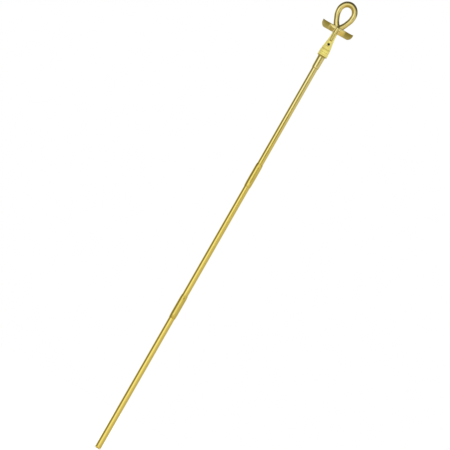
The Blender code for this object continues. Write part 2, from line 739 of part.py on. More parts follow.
def build_head():
    pivot = add_pivot("head", (0, 0, SOCKET_MOUTH_Z))
    carry(
        pivot,
        head_socket(),
        socket_base_ring(),
        ankh_stem(),
        ankh_loop(),
        crossbar_arm("crossbar_left_arm", -1),
        crossbar_arm("crossbar_right_arm", 1),
        crossbar_tie_rod(),
        head_stud(),
        stud_washer(),
        stud_nut(),
    )


def build_clamp():
    pivot = add_pivot("clamp_screw", (0, SPOT_FACE_Y, SCREW_Z))
    carry(pivot, set_screw(), set_screw_pad())


clear_scene()
STAFF = new_collection("processional_staff")
CUTTERS = new_collection("cutters", hidden=True)
build_lower_section()
build_middle_section()
build_upper_section()
build_head_mount()
build_head()
build_clamp()
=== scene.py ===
"""The looks of a processional staff with an ankh head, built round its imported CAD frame.

All pieces but the four plated fixings are rebuilt in mesh code, to the size of the CAD solids that
they stand for, and ride on those solids' bodies. Sizes are in metres, +Z is up and the front is -Y.
"""

import json
import math

import bmesh
import bpy
from mathutils import Matrix, Vector, noise
from mathutils.bvhtree import BVHTree


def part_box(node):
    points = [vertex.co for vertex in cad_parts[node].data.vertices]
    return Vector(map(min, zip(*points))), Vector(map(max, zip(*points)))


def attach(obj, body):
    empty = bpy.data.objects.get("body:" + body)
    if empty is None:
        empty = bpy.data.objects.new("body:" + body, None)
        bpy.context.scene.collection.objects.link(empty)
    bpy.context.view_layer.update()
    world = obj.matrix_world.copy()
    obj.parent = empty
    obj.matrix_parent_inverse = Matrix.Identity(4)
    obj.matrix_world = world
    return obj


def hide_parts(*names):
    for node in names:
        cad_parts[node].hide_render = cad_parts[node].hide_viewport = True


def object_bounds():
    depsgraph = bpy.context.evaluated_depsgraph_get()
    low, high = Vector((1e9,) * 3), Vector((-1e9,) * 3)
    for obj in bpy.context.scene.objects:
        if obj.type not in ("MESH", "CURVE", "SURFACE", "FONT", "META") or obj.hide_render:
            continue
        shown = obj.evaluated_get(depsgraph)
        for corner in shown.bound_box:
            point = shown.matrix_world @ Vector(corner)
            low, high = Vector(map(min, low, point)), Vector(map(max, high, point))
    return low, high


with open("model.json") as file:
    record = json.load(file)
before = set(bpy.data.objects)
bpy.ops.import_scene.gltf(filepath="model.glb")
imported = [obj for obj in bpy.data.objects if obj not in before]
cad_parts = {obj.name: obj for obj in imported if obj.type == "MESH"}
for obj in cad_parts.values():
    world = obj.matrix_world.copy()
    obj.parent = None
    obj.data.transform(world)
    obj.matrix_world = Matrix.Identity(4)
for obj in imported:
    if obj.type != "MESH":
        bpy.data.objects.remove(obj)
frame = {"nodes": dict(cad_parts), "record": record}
CAD_BOX = [list(corner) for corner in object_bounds()]
STAFF_HEIGHT = CAD_BOX[1][2]

MM = 0.001
GAP = 0.3 * MM  # clearance between pieces that touch on the real object

# ---- mesh detail
ROUND_STEPS = 96  # facets round a turned piece
SMALL_STEPS = 64  # facets round a small one
FILLET_STEPS = 4
ARC_STEPS = 12  # in a rounded end
SOCKET_STEPS = 128  # facets round the head socket
FLARE_STEPS = (24, 6)  # rows down the socket's flare, above the turned line and below it
BAR_STEPS = 56  # facets round the loop's bar
STRETCH_STEPS = 36  # rings along each of the loop's three stretches
STEM_STEPS = 12
SCREW_STEPS = 72  # facets round the set screw
THREAD_ROWS = 56
EDGE_LOOP = 0.25 * MM  # a row of points this close to each edge keeps the shading true
SHARP_ANGLE = math.radians(40)

# ---- staff
TUBE_WALL = 1.5 * MM
TUBE_FILLET = 0.4 * MM
SEAM_FILLET = 0.05 * MM  # where two pieces butt together
FOOT_EDGE_RADIUS = 5.0 * MM
FOOT_SEAM = 0.02 * MM  # the cap is pressed hard against the tube
FOOT_SHANK_DROP = 1.8 * MM  # how much slimmer the foot plug's shank is than its cap
SLEEVE_TAPER = 12.0 * MM
SLEEVE_LIP = 0.3 * MM
TAPER_BEND = 0.35  # the share of a taper that is the steeper end
MOUTH_FIT = 0.04 * MM  # a sleeve's mouths are swaged down to a close fit on the tube
MOUTH_LENGTH = 2.0 * MM
SPIGOT_BORE = 4.2 * MM
SPIGOT_CHAMFER = 1.2 * MM
GROOVE_FROM_TIP = 12.0 * MM
GROOVE_WIDTH = 2.4 * MM
GROOVE_DEPTH = 2.0 * MM

# ---- head mount
FERRULE_TAPER = 3.5 * MM
FERRULE_NARROWING = 0.5 * MM  # from the ferrule's top to its foot
FERRULE_ROOF = 3.0 * MM
FLANGE_HEIGHT = 3.0 * MM
SHANK_LENGTH = 45.0 * MM
NOSE_RADIUS = 6.0 * MM

# ---- head socket
NECK_RADIUS = 8.3 * MM
COLLAR_HEIGHT = 4.8 * MM  # the straight collar above the flare
FLARE_LATENESS = 1.15  # above 1, the flare keeps slim for longer below the neck
LINE_BELOW_TOP = 57.4 * MM  # the turned line, from the top of the socket
LINE_WIDTH = 2.6 * MM
LINE_DEPTH = 0.7 * MM
RING_BORE = 13.9 * MM
RING_ROLL = 3.0 * MM
RING_WAIST = 1.4 * MM
WEB_BELOW_TOP = 22.3 * MM
STUD_HOLE_RADIUS = 2.8 * MM
SPOT_FACE_RADIUS = 8.0 * MM
SCREW_HOLE_CLEARANCE = 0.3 * MM
SCREW_PITCH = 1.25 * MM
THREAD_DEPTH = 0.55 * MM
HEX_SOCKET_WIDTH = 4.0 * MM  # across flats
HEX_SOCKET_DEPTH = 2.3 * MM

# ---- ankh
WEDGE_END = 0.556  # the share of the crossbar's half width where the wedge runs out into the blade
HEEL_START = 0.728  # the share of it where the lower corner starts to round
HEEL_RISE = 17.7 * MM
BLADE_DEPTH = 3.2 * MM  # half depths, front to back
BLADE_TIP_DEPTH = 1.6 * MM
RIDGE_DROP = 8.4 * MM
RIDGE_DROP_END = 1.0 * MM
RIDGE_TURN = 0.316  # the share of the half width where the ridge starts to climb to the top edge
TOP_SET_BACK = 0.4 * MM
BOTTOM_SET_BACK = 3.0 * MM
BOTTOM_SET_BACK_END = 0.5 * MM
BOTTOM_TURN = 0.441  # the share of the half width where that set-back starts to run out
TIP_FLARE = 1.2 * MM
ARM_FILLET = 0.7 * MM
ARM_STEPS = 40
RIB_HALF_WIDTH = 4.4 * MM
RIB_HALF_DEPTH = 3.0 * MM
TANG_HALF_WIDTH = 3.7 * MM
TANG_HALF_DEPTH = 4.0 * MM
TANG_ABOVE_SEAT = 2.7 * MM  # how far the tang runs up inside the loop's foot
TIE_ROD_RADIUS = 2.5 * MM
BAR_RADIUS = 8.8 * MM
BAR_CREST_RADIUS = 9.6 * MM
BAR_THROAT_RADIUS = 8.3 * MM
BAR_FOOT_RADIUS = 9.8 * MM
LOOP_WIDEST_DROP = 28.4 * MM  # from the middle of the bar at the crest
LOOP_DROP_HANDLE = 14.5 * MM
LOOP_THROAT = (16.9 * MM, 19.0 * MM)  # across, and above the crossbar's top
LOOP_THROAT_LEAN = math.radians(21.8)  # from upright
LOOP_THROAT_HANDLES = (10.2 * MM, 9.7 * MM)  # above the throat, below it
LOOP_FOOT = (0.7 * MM, -8.0 * MM)  # where the legs' middles meet, inside the crossbar
LOOP_FOOT_LEAN = math.radians(33.2)
LOOP_FOOT_HANDLE = 9.3 * MM
CIRCLE_HANDLE = 0.5523  # handle length that makes a quarter ellipse
CAST_WAVE = 0.035 * MM  # how far hand finishing leaves the surface from true
CAST_WAVE_SIZE = 7.0 * MM

# ---- patina, dirt and painted shade
# Patina is the share of the way that a surface has gone from bright brass to dull olive.
# The same olive also paints shade under the socket's lip, on the ring's underside and on the arms.
SLEEVE_PATINA = {"lower_joint_sleeve": 0.16, "upper_joint_sleeve": 0.08}  # dulled by hands
# painted shadow on the ferrule, close under the socket's lip
FERRULE_LIP_SHADOW = 0.8  # close under the socket's lip
LIP_SHADE_REACH = 3.0 * MM
# darkens the socket in and round its turned line
LINE_DARKENING = 0.40
# painted shade on the base ring's underside
RING_UNDERSIDE_SHADE = 0.85  # on its underside
# the rib is darker below the crossbar
RIB_DARKENING = 0.32  # below the crossbar
# painted shade: the outer blades darken from here out to their tips, a little less near the bottom
# edge
BLADE_SHADE_START = 21 * MM  # the thin outer blades are dull from here to their tips
ARM_SHADE_FULL = 29 * MM
# painted shade on the arms' lower facets
LOW_FACET_SHADE = 0.45  # on the arms' lower facets
LOW_FACET_SHADE_START = 9 * MM
SEAM_REACH = 0.6 * MM
SEAM_DIRT = 0.25
# how far rays look for nearby surfaces; what they find is painted as shade on the head
OCCLUSION_SHADE_REACH = 4.5 * MM


# ---- the frame's own facts
RECORD = frame["record"]
BODY_OF = {node: body for body, nodes in RECORD["behaviour"]["bodies"].items() for node in nodes}


def extent(node):
    """(radius, lowest z, highest z) of a round CAD node that stands on the Z axis."""
    low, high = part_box(node)
    return (high.x - low.x) / 2, low.z, high.z


# ---- outlines
def full_turn(steps):
    return [math.tau * i / steps for i in range(steps)]


def sharp(points):
    """The points as corners that softened() leaves alone."""
    return [(*point, 0.0) for point in points]


def arc(centre, radius, start, end, steps):
    """Points on an arc about centre. Angles are in degrees, from the first axis to the second."""
    turns = [math.radians(start + (end - start) * i / steps) for i in range(steps + 1)]
    return [(centre[0] + radius * math.cos(t), centre[1] + radius * math.sin(t)) for t in turns]


def softened(corners, fillet, closed):
    """The outline with its corners rounded. A third number in a corner is its own rounding."""
    points = []
    for i, corner in enumerate(corners):
        here = Vector(corner[:2])
        reach = corner[2] if len(corner) > 2 else fillet
        if reach <= 0 or (not closed and i in (0, len(corners) - 1)):
            points.append(here)
            continue
        before = Vector(corners[i - 1][:2]) - here
        after = Vector(corners[(i + 1) % len(corners)][:2]) - here
        reach = min(reach, 0.45 * before.length, 0.45 * after.length)
        start = here + before.normalized() * reach
        end = here + after.normalized() * reach
        for step in range(FILLET_STEPS + 1):
            share = step / FILLET_STEPS
            points.append(
                start * (1 - share) ** 2 + here * 2 * share * (1 - share) + end * share**2
            )
    return points


def spaced(points, longest, closed):
    """The outline with its long stretches divided, and a point just inside each of their ends."""
    ends = points[1:] + points[:1] if closed else points[1:]
    result = []
    for start, end in zip(points, ends):
        length = (end - start).length
        shares = [0.0]
        if length > 4 * EDGE_LOOP:
            inner = math.ceil(length / longest)
            edge = EDGE_LOOP / length
            shares += [edge + (1 - 2 * edge) * i / inner for i in range(inner + 1)]
        result += [start.lerp(end, share) for share in shares]
    return result if closed else result + [points[-1]]


# ---- meshes
def new_object(name, mesh):
    obj = bpy.data.objects.new(name, mesh)
    bpy.context.scene.collection.objects.link(obj)
    return obj


def skin(name, rings, closed=False):
    """A solid through rings of as many points each. closed joins the last ring to the first. An
    open row of rings is capped at each end; a ring of one point closes itself."""
    built = bmesh.new()
    rows = [[built.verts.new(point) for point in ring] for ring in rings]
    ends = rows[1:] + rows[:1] if closed else rows[1:]
    for near, far in zip(rows, ends):
        count = max(len(near), len(far))
        for i in range(count):
            following = (i + 1) % count
            if len(near) == 1:
                built.faces.new((near[0], far[following], far[i]))
            elif len(far) == 1:
                built.faces.new((near[i], near[following], far[0]))
            else:
                built.faces.new((near[i], near[following], far[following], far[i]))
    if not closed:
        for row in (rows[0], rows[-1]):
            if len(row) > 1:
                built.faces.new(row)
    bmesh.ops.recalc_face_normals(built, faces=built.faces)
    mesh = bpy.data.meshes.new(name)
    built.to_mesh(mesh)
    built.free()
    return new_object(name, mesh)


def ring_about_z(radius, height, steps):
    if radius < 1e-7:
        return [(0.0, 0.0, height)]
    return [(radius * math.cos(t), radius * math.sin(t), height) for t in full_turn(steps)]


def lathe(name, corners, closed=True, fillet=0.2 * MM, longest=6 * MM, steps=ROUND_STEPS):
    """A turned solid from an outline of (radius, height) corners. An open outline starts and ends
    on the axis."""
    outline = spaced(softened(corners, fillet, closed), longest, closed)
    return skin(name, [ring_about_z(radius, height, steps) for radius, height in outline], closed)


def block(name, low, high):
    """A box used as a cutter."""
    corners = [(low[0], low[1]), (high[0], low[1]), (high[0], high[1]), (low[0], high[1])]
    return skin(name, [[(x, y, z) for x, y in corners] for z in (low[2], high[2])])


def rod(name, radius, start, end):
    """A plain round rod between two points, used as a cutter."""
    along = Vector(end) - Vector(start)
    rings = [ring_about_z(radius, height, SMALL_STEPS) for height in (0.0, along.length)]
    made = skin(name, rings)
    turn = along.to_track_quat("Z", "Y").to_matrix().to_4x4()
    made.data.transform(Matrix.Translation(start) @ turn)
    return made


def combine(obj, operation, *others):
    """Applies an exact Boolean with each of the others, and removes them."""
    for other in others:
        modifier = obj.modifiers.new(operation.lower(), "BOOLEAN")
        modifier.solver = "EXACT"
        modifier.operation = operation
        modifier.object = other
    apply_modifiers(obj)
    for other in others:
        bpy.data.objects.remove(other, do_unlink=True)


def apply_modifiers(obj):
    graph = bpy.context.evaluated_depsgraph_get()
    mesh = bpy.data.meshes.new_from_object(obj.evaluated_get(graph))
    old = obj.data
    obj.modifiers.clear()
    obj.data = mesh
    mesh.name = obj.name
    bpy.data.meshes.remove(old)


def hand_finished(obj):
    """Moves the surface slightly in and out, as files and buffing wheels leave a casting."""
    mesh = obj.data
    normals = [vertex.normal.copy() for vertex in mesh.vertices]
    for vertex, normal in zip(mesh.vertices, normals):
        vertex.co += normal * CAST_WAVE * noise.noise(vertex.co / CAST_WAVE_SIZE)


# ---- wear and dirt, kept on points
def new_attribute(mesh, name, values):
    attribute = mesh.attributes.new(name, "FLOAT", "POINT")
    attribute.data.foreach_set("value", values)


def smoothed(built, values, rounds):
    for _ in range(rounds):
        values = [
            (values[v.index] + sum(values[e.other_vert(v).index] for e in v.link_edges))
            / (1 + len(v.link_edges))
            for v in built.verts
        ]
    return values


def share_between(low, high, value):
    share = min(max((value - low) / (high - low), 0.0), 1.0)
    return share * share * (3 - 2 * share)


def record_edges(obj):
    """Stores where buffing rubs edges bright ("wear") and how much concave corners darken, as dirt
    and as painted shade.
    """
    built = bmesh.new()
    built.from_mesh(obj.data)
    built.verts.ensure_lookup_table()
    wear, crease_dirt_and_shade = [], []
    for vertex in built.verts:
        angles = [e.calc_face_angle_signed(0.0) for e in vertex.link_edges if e.is_manifold]
        wear.append(share_between(0.2, 0.7, max(angles, default=0.0)))
        crease_dirt_and_shade.append(share_between(0.2, 0.9, -min(angles, default=0.0)))
    new_attribute(obj.data, "wear", smoothed(built, wear, 1))
    new_attribute(obj.data, "crease_dirt_and_shade", smoothed(built, crease_dirt_and_shade, 2))
    built.free()


def record_patina_and_shade(obj, patina_at):
    """Stores how far each point is darkened towards olive, from a function of its vertex. It is
    patina on the sleeves and painted shade on the ferrule, the ring and the arms.
    """
    new_attribute(obj.data, "patina_and_shade", [patina_at(vertex) for vertex in obj.data.vertices])


def record_occlusion_shade(objects, reach):
    """Stores how far nearby surfaces hide each point from its surroundings, which the material
    paints as shade in creases and between parts.
    """
    trees = {}
    for obj in objects:
        mesh = obj.data
        faces = [polygon.vertices for polygon in mesh.polygons]
        trees[obj] = BVHTree.FromPolygons([v.co for v in mesh.vertices], faces)
    rays = []
    for up in (0.35, 0.8):
        for turn in range(6):
            angle = math.tau * (turn + up) / 6
            flat = math.sqrt(1 - up * up)
            rays.append(Vector((flat * math.cos(angle), flat * math.sin(angle), up)))
    for obj in objects:
        built = bmesh.new()
        built.from_mesh(obj.data)
        hidden = []
        for vertex in built.verts:
            turn = vertex.normal.to_track_quat("Z", "Y")
            start = vertex.co + vertex.normal * 0.05 * MM
            hits = 0
            for ray in rays:
                direction = turn @ ray
                hits += any(tree.ray_cast(start, direction, reach)[0] for tree in trees.values())
            hidden.append(hits / len(rays))
        new_attribute(obj.data, "seam_dirt_and_occlusion_shade", smoothed(built, hidden, 2))
        built.free()


def nearness(height, seam, reach):
    return math.exp(-(((height - seam) / reach) ** 2))


def record_seams(obj, heights, reach):
    """Stores how near each point is to a seam round the staff at one of these heights."""
    values = []
    for vertex in obj.data.vertices:
        values.append(SEAM_DIRT * max(nearness(vertex.co.z, height, reach) for height in heights))
    new_attribute(obj.data, "seam_dirt_and_occlusion_shade", values)


# ---- node helpers
class Nodes:
    """Short calls for building one shader's node tree."""

    def __init__(self, tree):
        self.tree = tree
        tree.nodes.clear()

    def add(self, kind, inputs=None, **settings):
        node = self.tree.nodes.new(kind)
        for name, value in settings.items():
            setattr(node, name, value)
        for name, value in (inputs or {}).items():
            self.feed(node.inputs[name], value)
        return node

    def feed(self, socket, value):
        if isinstance(value, bpy.types.NodeSocket):
            self.tree.links.new(value, socket)
        else:
            socket.default_value = value

    def math(self, operation, first, second=0.0, clamp=False):
        node = self.add("ShaderNodeMath", {0: first, 1: second}, operation=operation)
        node.use_clamp = clamp
        return node.outputs[0]

    def noise(self, vector, scale, detail=3.0, roughness=0.55):
        inputs = {"Vector": vector, "Scale": scale, "Detail": detail, "Roughness": roughness}
        return self.add("ShaderNodeTexNoise", inputs).outputs["Fac"]

    def stretched(self, vector, scale):
        return self.add("ShaderNodeMapping", {"Vector": vector, "Scale": scale}).outputs[0]

    def attribute(self, name):
        return self.add("ShaderNodeAttribute", attribute_name=name).outputs["Fac"]

    def remap(self, value, low, high, new_low=0.0, new_high=1.0):
        inputs = {"Value": value, "From Min": low, "From Max": high}
        inputs.update({"To Min": new_low, "To Max": new_high})
        node = self.add("ShaderNodeMapRange", inputs, interpolation_type="SMOOTHSTEP")
        return node.outputs[0]

    def mix(self, share, first, second):
        node = self.add("ShaderNodeMix", data_type="RGBA")
        sockets = [socket for socket in node.inputs if socket.enabled]
        for socket, value in zip(sockets, (share, first, second)):
            self.feed(socket, value)
        return next(socket for socket in node.outputs if socket.enabled)

    def ramp(self, value, stops, interpolation="LINEAR"):
        """stops are (position, colour) from 0 to 1."""
        node = self.add("ShaderNodeValToRGB", {"Fac": value})
        node.color_ramp.interpolation = interpolation
        elements = node.color_ramp.elements
        while len(elements) < len(stops):
            elements.new(1.0)
        for element, (position, colour) in zip(elements, stops):
            element.position = position
            element.color = (*colour, 1.0)
        return node.outputs["Color"]

    def bump(self, height, distance, under=None):
        inputs = {"Height": height, "Distance": distance, "Strength": 1.0}
        if under is not None:
            inputs["Normal"] = under
        return self.add("ShaderNodeBump", inputs).outputs["Normal"]


def grey(value):
    return (value, value, value)


# ---- materials
# Colours are linear.
GOLD = (0.87, 0.665, 0.120)  # the lower lengths
LEMON = (0.88, 0.730, 0.230)  # the head and the top of the upper length
SATIN = (0.95, 0.830, 0.225)
MACHINED = (0.70, 0.540, 0.170)
TARNISH = (0.33, 0.235, 0.045)
# also paints shade in concave corners and between the head's parts
DIRT_AND_SHADE = (0.085, 0.062, 0.018)
# the same olive also paints shade on the arms, the ferrule and the ring
OLIVE = (0.190, 0.137, 0.004)  # full patina
RUBBED = (0.93, 0.80, 0.38)  # worn edges
BRASS_SPECULAR = 0.25
TONE_LOW_Z = 0.60 * STAFF_HEIGHT  # the metal pales from here
TONE_HIGH_Z = 0.90 * STAFF_HEIGHT  # to here


def opaque(colour):
    return (*colour, 1.0)


def new_material(name):
    """(material, its nodes, the place on the piece that a texture is read at)."""
    made = bpy.data.materials.new(name)
    made.use_nodes = True
    nodes = Nodes(made.node_tree)
    return made, nodes, nodes.add("ShaderNodeTexCoord").outputs["Object"]


def close_material(nodes, inputs):
    shader = nodes.add("ShaderNodeBsdfPrincipled", inputs)
    output = nodes.add("ShaderNodeOutputMaterial")
    nodes.feed(output.inputs["Surface"], shader.outputs[0])


def brass(name, roughness, grain, colour=None, blotch=0.5, marks="drawn", metallic=1.0):
    """Yellow brass. grain is the height of its surface texture, marks is how it was finished, and
    blotch is how stained it is. It is brass-coloured by height unless colour is given."""
    made, nodes, place = new_material(name)
    height = nodes.add("ShaderNodeSeparateXYZ", {"Vector": place}).outputs["Z"]

    tone = nodes.remap(height, TONE_LOW_Z, TONE_HIGH_Z)
    base = opaque(colour) if colour else nodes.mix(tone, opaque(GOLD), opaque(LEMON))
    clouds = nodes.noise(place, 38.0, 5.0, 0.6)
    freckles = nodes.noise(place, 420.0, 4.0, 0.6)
    stained = nodes.remap(clouds, 0.50, 0.80, 0.0, 0.20 * blotch)
    base = nodes.mix(stained, base, opaque(TARNISH))
    base = nodes.mix(nodes.remap(freckles, 0.62, 0.80, 0.0, 0.25 * blotch), base, opaque(TARNISH))

    along = {"drawn": (700.0, 700.0, 9.0), "turned": (14.0, 14.0, 2600.0)}.get(marks)
    if along:
        lines = nodes.noise(nodes.stretched(place, along), 1.0, 4.0, 0.7)
        scratches = nodes.noise(nodes.stretched(place, tuple(3 * a for a in along)), 1.0, 2.0)
    else:
        lines = nodes.noise(place, 900.0, 6.0, 0.7)
        scratches = nodes.noise(nodes.stretched(place, (2200.0, 260.0, 1400.0)), 1.0, 3.0)
    base = nodes.mix(nodes.remap(lines, 0.35, 0.75, 0.0, 0.07), base, opaque(TARNISH))

    wear = nodes.attribute("wear")
    crease_dirt_and_shade = nodes.attribute("crease_dirt_and_shade")
    seam_dirt_and_occlusion_shade = nodes.attribute("seam_dirt_and_occlusion_shade")
    patina_and_shade = nodes.attribute("patina_and_shade")
    # olive patina; on the arms, the ferrule and the ring this paints shade
    patchy = nodes.math("MULTIPLY", patina_and_shade, nodes.remap(clouds, 0.30, 0.65, 0.90, 1.0))
    base = nodes.mix(patchy, base, opaque(OLIVE))
    ragged = nodes.remap(nodes.noise(place, 700.0, 4.0), 0.30, 0.65, 0.45, 1.0)
    # dirt at the staff's seams, and painted shade in concave corners and between the head's parts
    dirt_and_shade = nodes.math("MAXIMUM", crease_dirt_and_shade, nodes.remap(seam_dirt_and_occlusion_shade, 0.14, 0.62), clamp=True)
    dirt_and_shade = nodes.math("MULTIPLY", dirt_and_shade, ragged, clamp=True)
    base = nodes.mix(nodes.math("MULTIPLY", dirt_and_shade, 0.80), base, opaque(DIRT_AND_SHADE))
    base = nodes.mix(nodes.math("MULTIPLY", wear, 0.35), base, opaque(RUBBED))

    smear = nodes.noise(nodes.stretched(place, (55.0, 55.0, 30.0)), 1.0, 4.0, 0.65)
    rough = nodes.math("ADD", nodes.remap(smear, 0.35, 0.75, 0.0, 0.05), roughness)
    rough = nodes.math("ADD", rough, nodes.remap(lines, 0.3, 0.8, 0.0, 0.04))
    rough = nodes.math("ADD", rough, nodes.math("MULTIPLY", dirt_and_shade, 0.35))
    rough = nodes.math("ADD", rough, nodes.math("MULTIPLY", patchy, 0.12))
    rough = nodes.math("SUBTRACT", rough, nodes.math("MULTIPLY", wear, 0.06), clamp=True)

    shine = nodes.remap(patchy, 0.0, 1.0, metallic, 0.25 * metallic)
    normal = nodes.bump(lines, grain)
    normal = nodes.bump(scratches, 0.25 * grain, under=normal)
    look = {"Base Color": base, "Metallic": shine, "Roughness": rough, "Normal": normal}
    close_material(nodes, {**look, "Specular IOR Level": BRASS_SPECULAR})
    return made


def black_oxide():
    made, nodes, place = new_material("black_oxide_steel")
    mottle = nodes.noise(place, 900.0, 5.0, 0.65)
    base = nodes.ramp(mottle, [(0.3, (0.010, 0.012, 0.005)), (0.75, (0.032, 0.038, 0.014))])
    wear = nodes.attribute("wear")
    base = nodes.mix(nodes.math("MULTIPLY", wear, 0.5), base, opaque((0.16, 0.16, 0.15)))
    rough = nodes.remap(mottle, 0.3, 0.8, 0.36, 0.56)
    normal = nodes.bump(mottle, 0.02 * MM)
    look = {"Base Color": base, "Metallic": 0.3, "Roughness": rough, "Normal": normal}
    close_material(nodes, {**look, "Specular IOR Level": 0.2})
    return made


def zinc_plate():
    made, nodes, place = new_material("zinc_plated_steel")
    clouds = nodes.noise(place, 260.0, 5.0, 0.6)
    tint = [(0.30, (0.50, 0.53, 0.60)), (0.52, (0.63, 0.64, 0.62)), (0.75, (0.66, 0.62, 0.50))]
    base = nodes.ramp(clouds, tint)
    lines = nodes.noise(nodes.stretched(place, (300.0, 300.0, 2600.0)), 1.0, 4.0)
    rough = nodes.remap(lines, 0.3, 0.8, 0.26, 0.46)
    normal = nodes.bump(lines, 0.03 * MM)
    close_material(
        nodes, {"Base Color": base, "Metallic": 1.0, "Roughness": rough, "Normal": normal}
    )
    return made


def moulded_rubber():
    made, nodes, place = new_material("moulded_rubber")
    dust = nodes.noise(place, 520.0, 6.0, 0.7)
    base = nodes.ramp(dust, [(0.40, (0.012, 0.012, 0.013)), (0.80, (0.055, 0.052, 0.048))])
    rough = nodes.remap(dust, 0.3, 0.8, 0.55, 0.85)
    normal = nodes.bump(nodes.noise(place, 2400.0, 3.0), 0.03 * MM)
    close_material(nodes, {"Base Color": base, "Roughness": rough, "Normal": normal})
    return made


POLISHED = brass("polished_brass", 0.10, 0.006 * MM)
BUFFED = brass("buffed_cast_brass", 0.13, 0.007 * MM, marks="buffed", blotch=0.7)
CAST = brass(
    "satin_cast_brass", 0.46, 0.040 * MM, SATIN, blotch=0.35, marks="cast", metallic=0.42
)
TURNED = brass("machined_brass", 0.30, 0.020 * MM, MACHINED, blotch=0.4, marks="turned")
BLACK_STEEL = black_oxide()
ZINC_STEEL = zinc_plate()
RUBBER = moulded_rubber()


# ---- finishing a piece
def finished(obj, node, material):
    """Gives a new piece its shading, its material and its place in the frame."""
    mesh = obj.data
    mesh.materials.clear()
    mesh.materials.append(material)
    for polygon in mesh.polygons:
        polygon.use_smooth = True
    mesh.set_sharp_from_angle(angle=SHARP_ANGLE)
    record_edges(obj)
    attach(obj, BODY_OF[node])
    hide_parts(node)
    return obj


# ---- tubes, sleeves and foot
SEAMS = [height for node in SLEEVE_PATINA for height in extent(node)[1:]]
SEAMS.append(extent("head_ferrule")[1])


def seamed(obj, node, material):
    record_seams(obj, SEAMS, SEAM_REACH)
    return finished(obj, node, material)


def make_tube(node):
    radius, bottom, top = extent(node)
    bore = radius - TUBE_WALL
    foot_end = SEAM_FILLET if node == "lower_tube" else TUBE_FILLET
    corners = [(radius, top), (radius, bottom, foot_end), (bore, bottom), (bore, top)]
    seamed(lathe(f"{node}_drawn", corners, fillet=TUBE_FILLET), node, POLISHED)


def make_foot():
    radius, bottom, top = extent("foot_plug")
    shoulder = extent("lower_tube")[1] - FOOT_SEAM
    shank = radius - FOOT_SHANK_DROP
    edge = FOOT_EDGE_RADIUS
    corners = [
        (0.0, top),
        (shank, top, 1.0 * MM),
        (shank, shoulder, 0.0),
        (radius, shoulder, SEAM_FILLET),
        *sharp(arc((radius - edge, bottom + edge), edge, 0, -90, ARC_STEPS)),
        (0.0, bottom),
    ]
    seamed(lathe("foot_plug_domed", corners, closed=False), "foot_plug", POLISHED)


def swaged_mouth(tube_radius, mouth, inward):
    """The inside of a sleeve's mouth, from its end to the full bore. inward is +1 or -1."""
    return [
        (tube_radius + MOUTH_FIT, mouth, SEAM_FILLET),
        (tube_radius + MOUTH_FIT, mouth + inward * MOUTH_LENGTH, 0.1 * MM),
        (tube_radius + GAP, mouth + inward * 1.4 * MOUTH_LENGTH, 0.1 * MM),
    ]


def make_sleeve(node):
    radius, bottom, top = extent(node)
    tube_radius = extent("lower_tube")[0]
    lip = tube_radius + GAP + SLEEVE_LIP
    bow = lip + 0.45 * (radius - lip)
    corners = [
        (lip, top, 0.12 * MM),
        (bow, top - TAPER_BEND * SLEEVE_TAPER, 3.0 * MM),
        (radius, top - SLEEVE_TAPER, 6.0 * MM),
        (radius, bottom + SLEEVE_TAPER, 6.0 * MM),
        (bow, bottom + TAPER_BEND * SLEEVE_TAPER, 3.0 * MM),
        (lip, bottom, 0.12 * MM),
        *swaged_mouth(tube_radius, bottom, 1),
        *reversed(swaged_mouth(tube_radius, top, -1)),
    ]
    sleeve = lathe(f"{node}_swaged", corners)
    record_patina_and_shade(sleeve, lambda vertex: SLEEVE_PATINA[node])
    seamed(sleeve, node, POLISHED)


def grooved_side(radius, tip, direction):
    """The side of a spigot past its O-ring groove, down (-1) or up (+1) from its tip."""
    near = tip + direction * (GROOVE_FROM_TIP - GROOVE_WIDTH / 2)
    far = tip + direction * (GROOVE_FROM_TIP + GROOVE_WIDTH / 2)
    floor = radius - GROOVE_DEPTH
    return [
        (radius - SPIGOT_CHAMFER, tip),
        (radius, tip + direction * SPIGOT_CHAMFER),
        (radius, near, 0.1 * MM),
        (floor, near, 0.1 * MM),
        (floor, far, 0.1 * MM),
        (radius, far, 0.1 * MM),
    ]


def make_spigot(node):
    radius, bottom, top = extent(node)
    corners = [
        *grooved_side(radius, top, -1),
        (radius, bottom + SPIGOT_CHAMFER),
        (radius - SPIGOT_CHAMFER, bottom),
        (SPIGOT_BORE, bottom),
        (SPIGOT_BORE, top),
    ]
    seamed(lathe(f"{node}_turned", corners), node, TURNED)


def make_oring(node):
    radius, bottom, top = extent(node)
    section = (top - bottom) / 2
    middle = (radius - section, (bottom + top) / 2)
    corners = sharp(arc(middle, section, 180, -157.5, 15))
    seamed(lathe(f"{node}_moulded", corners), node, RUBBER)


# ---- head mount
def make_ferrule():
    radius, bottom, top = extent("head_ferrule")
    mouth = extent("head_socket")[1]
    tube_radius = extent("upper_tube")[0]
    bore = tube_radius + GAP
    lip = bore + SLEEVE_LIP
    foot = radius - FERRULE_NARROWING
    bow = (lip + foot) / 2 + 0.25 * MM
    roof = top - FERRULE_ROOF
    nose = NOSE_RADIUS + GAP
    corners = [
        (radius, top, 0.6 * MM),
        (radius, mouth - FERRULE_TAPER, 6.0 * MM),
        (foot, bottom + FERRULE_TAPER, 1.6 * MM),
        (bow, bottom + TAPER_BEND * FERRULE_TAPER, 1.0 * MM),
        (lip, bottom, 0.12 * MM),
        *swaged_mouth(tube_radius, bottom, 1),
        (bore, roof),
        (nose, roof),
        (nose, top),
    ]
    ferrule = lathe("head_ferrule_turned", corners)
    # painted shadow on the ferrule, close under the socket's lip
    record_patina_and_shade(ferrule, lambda v: FERRULE_LIP_SHADOW * nearness(v.co.z, mouth, LIP_SHADE_REACH))
    seamed(ferrule, "head_ferrule", POLISHED)


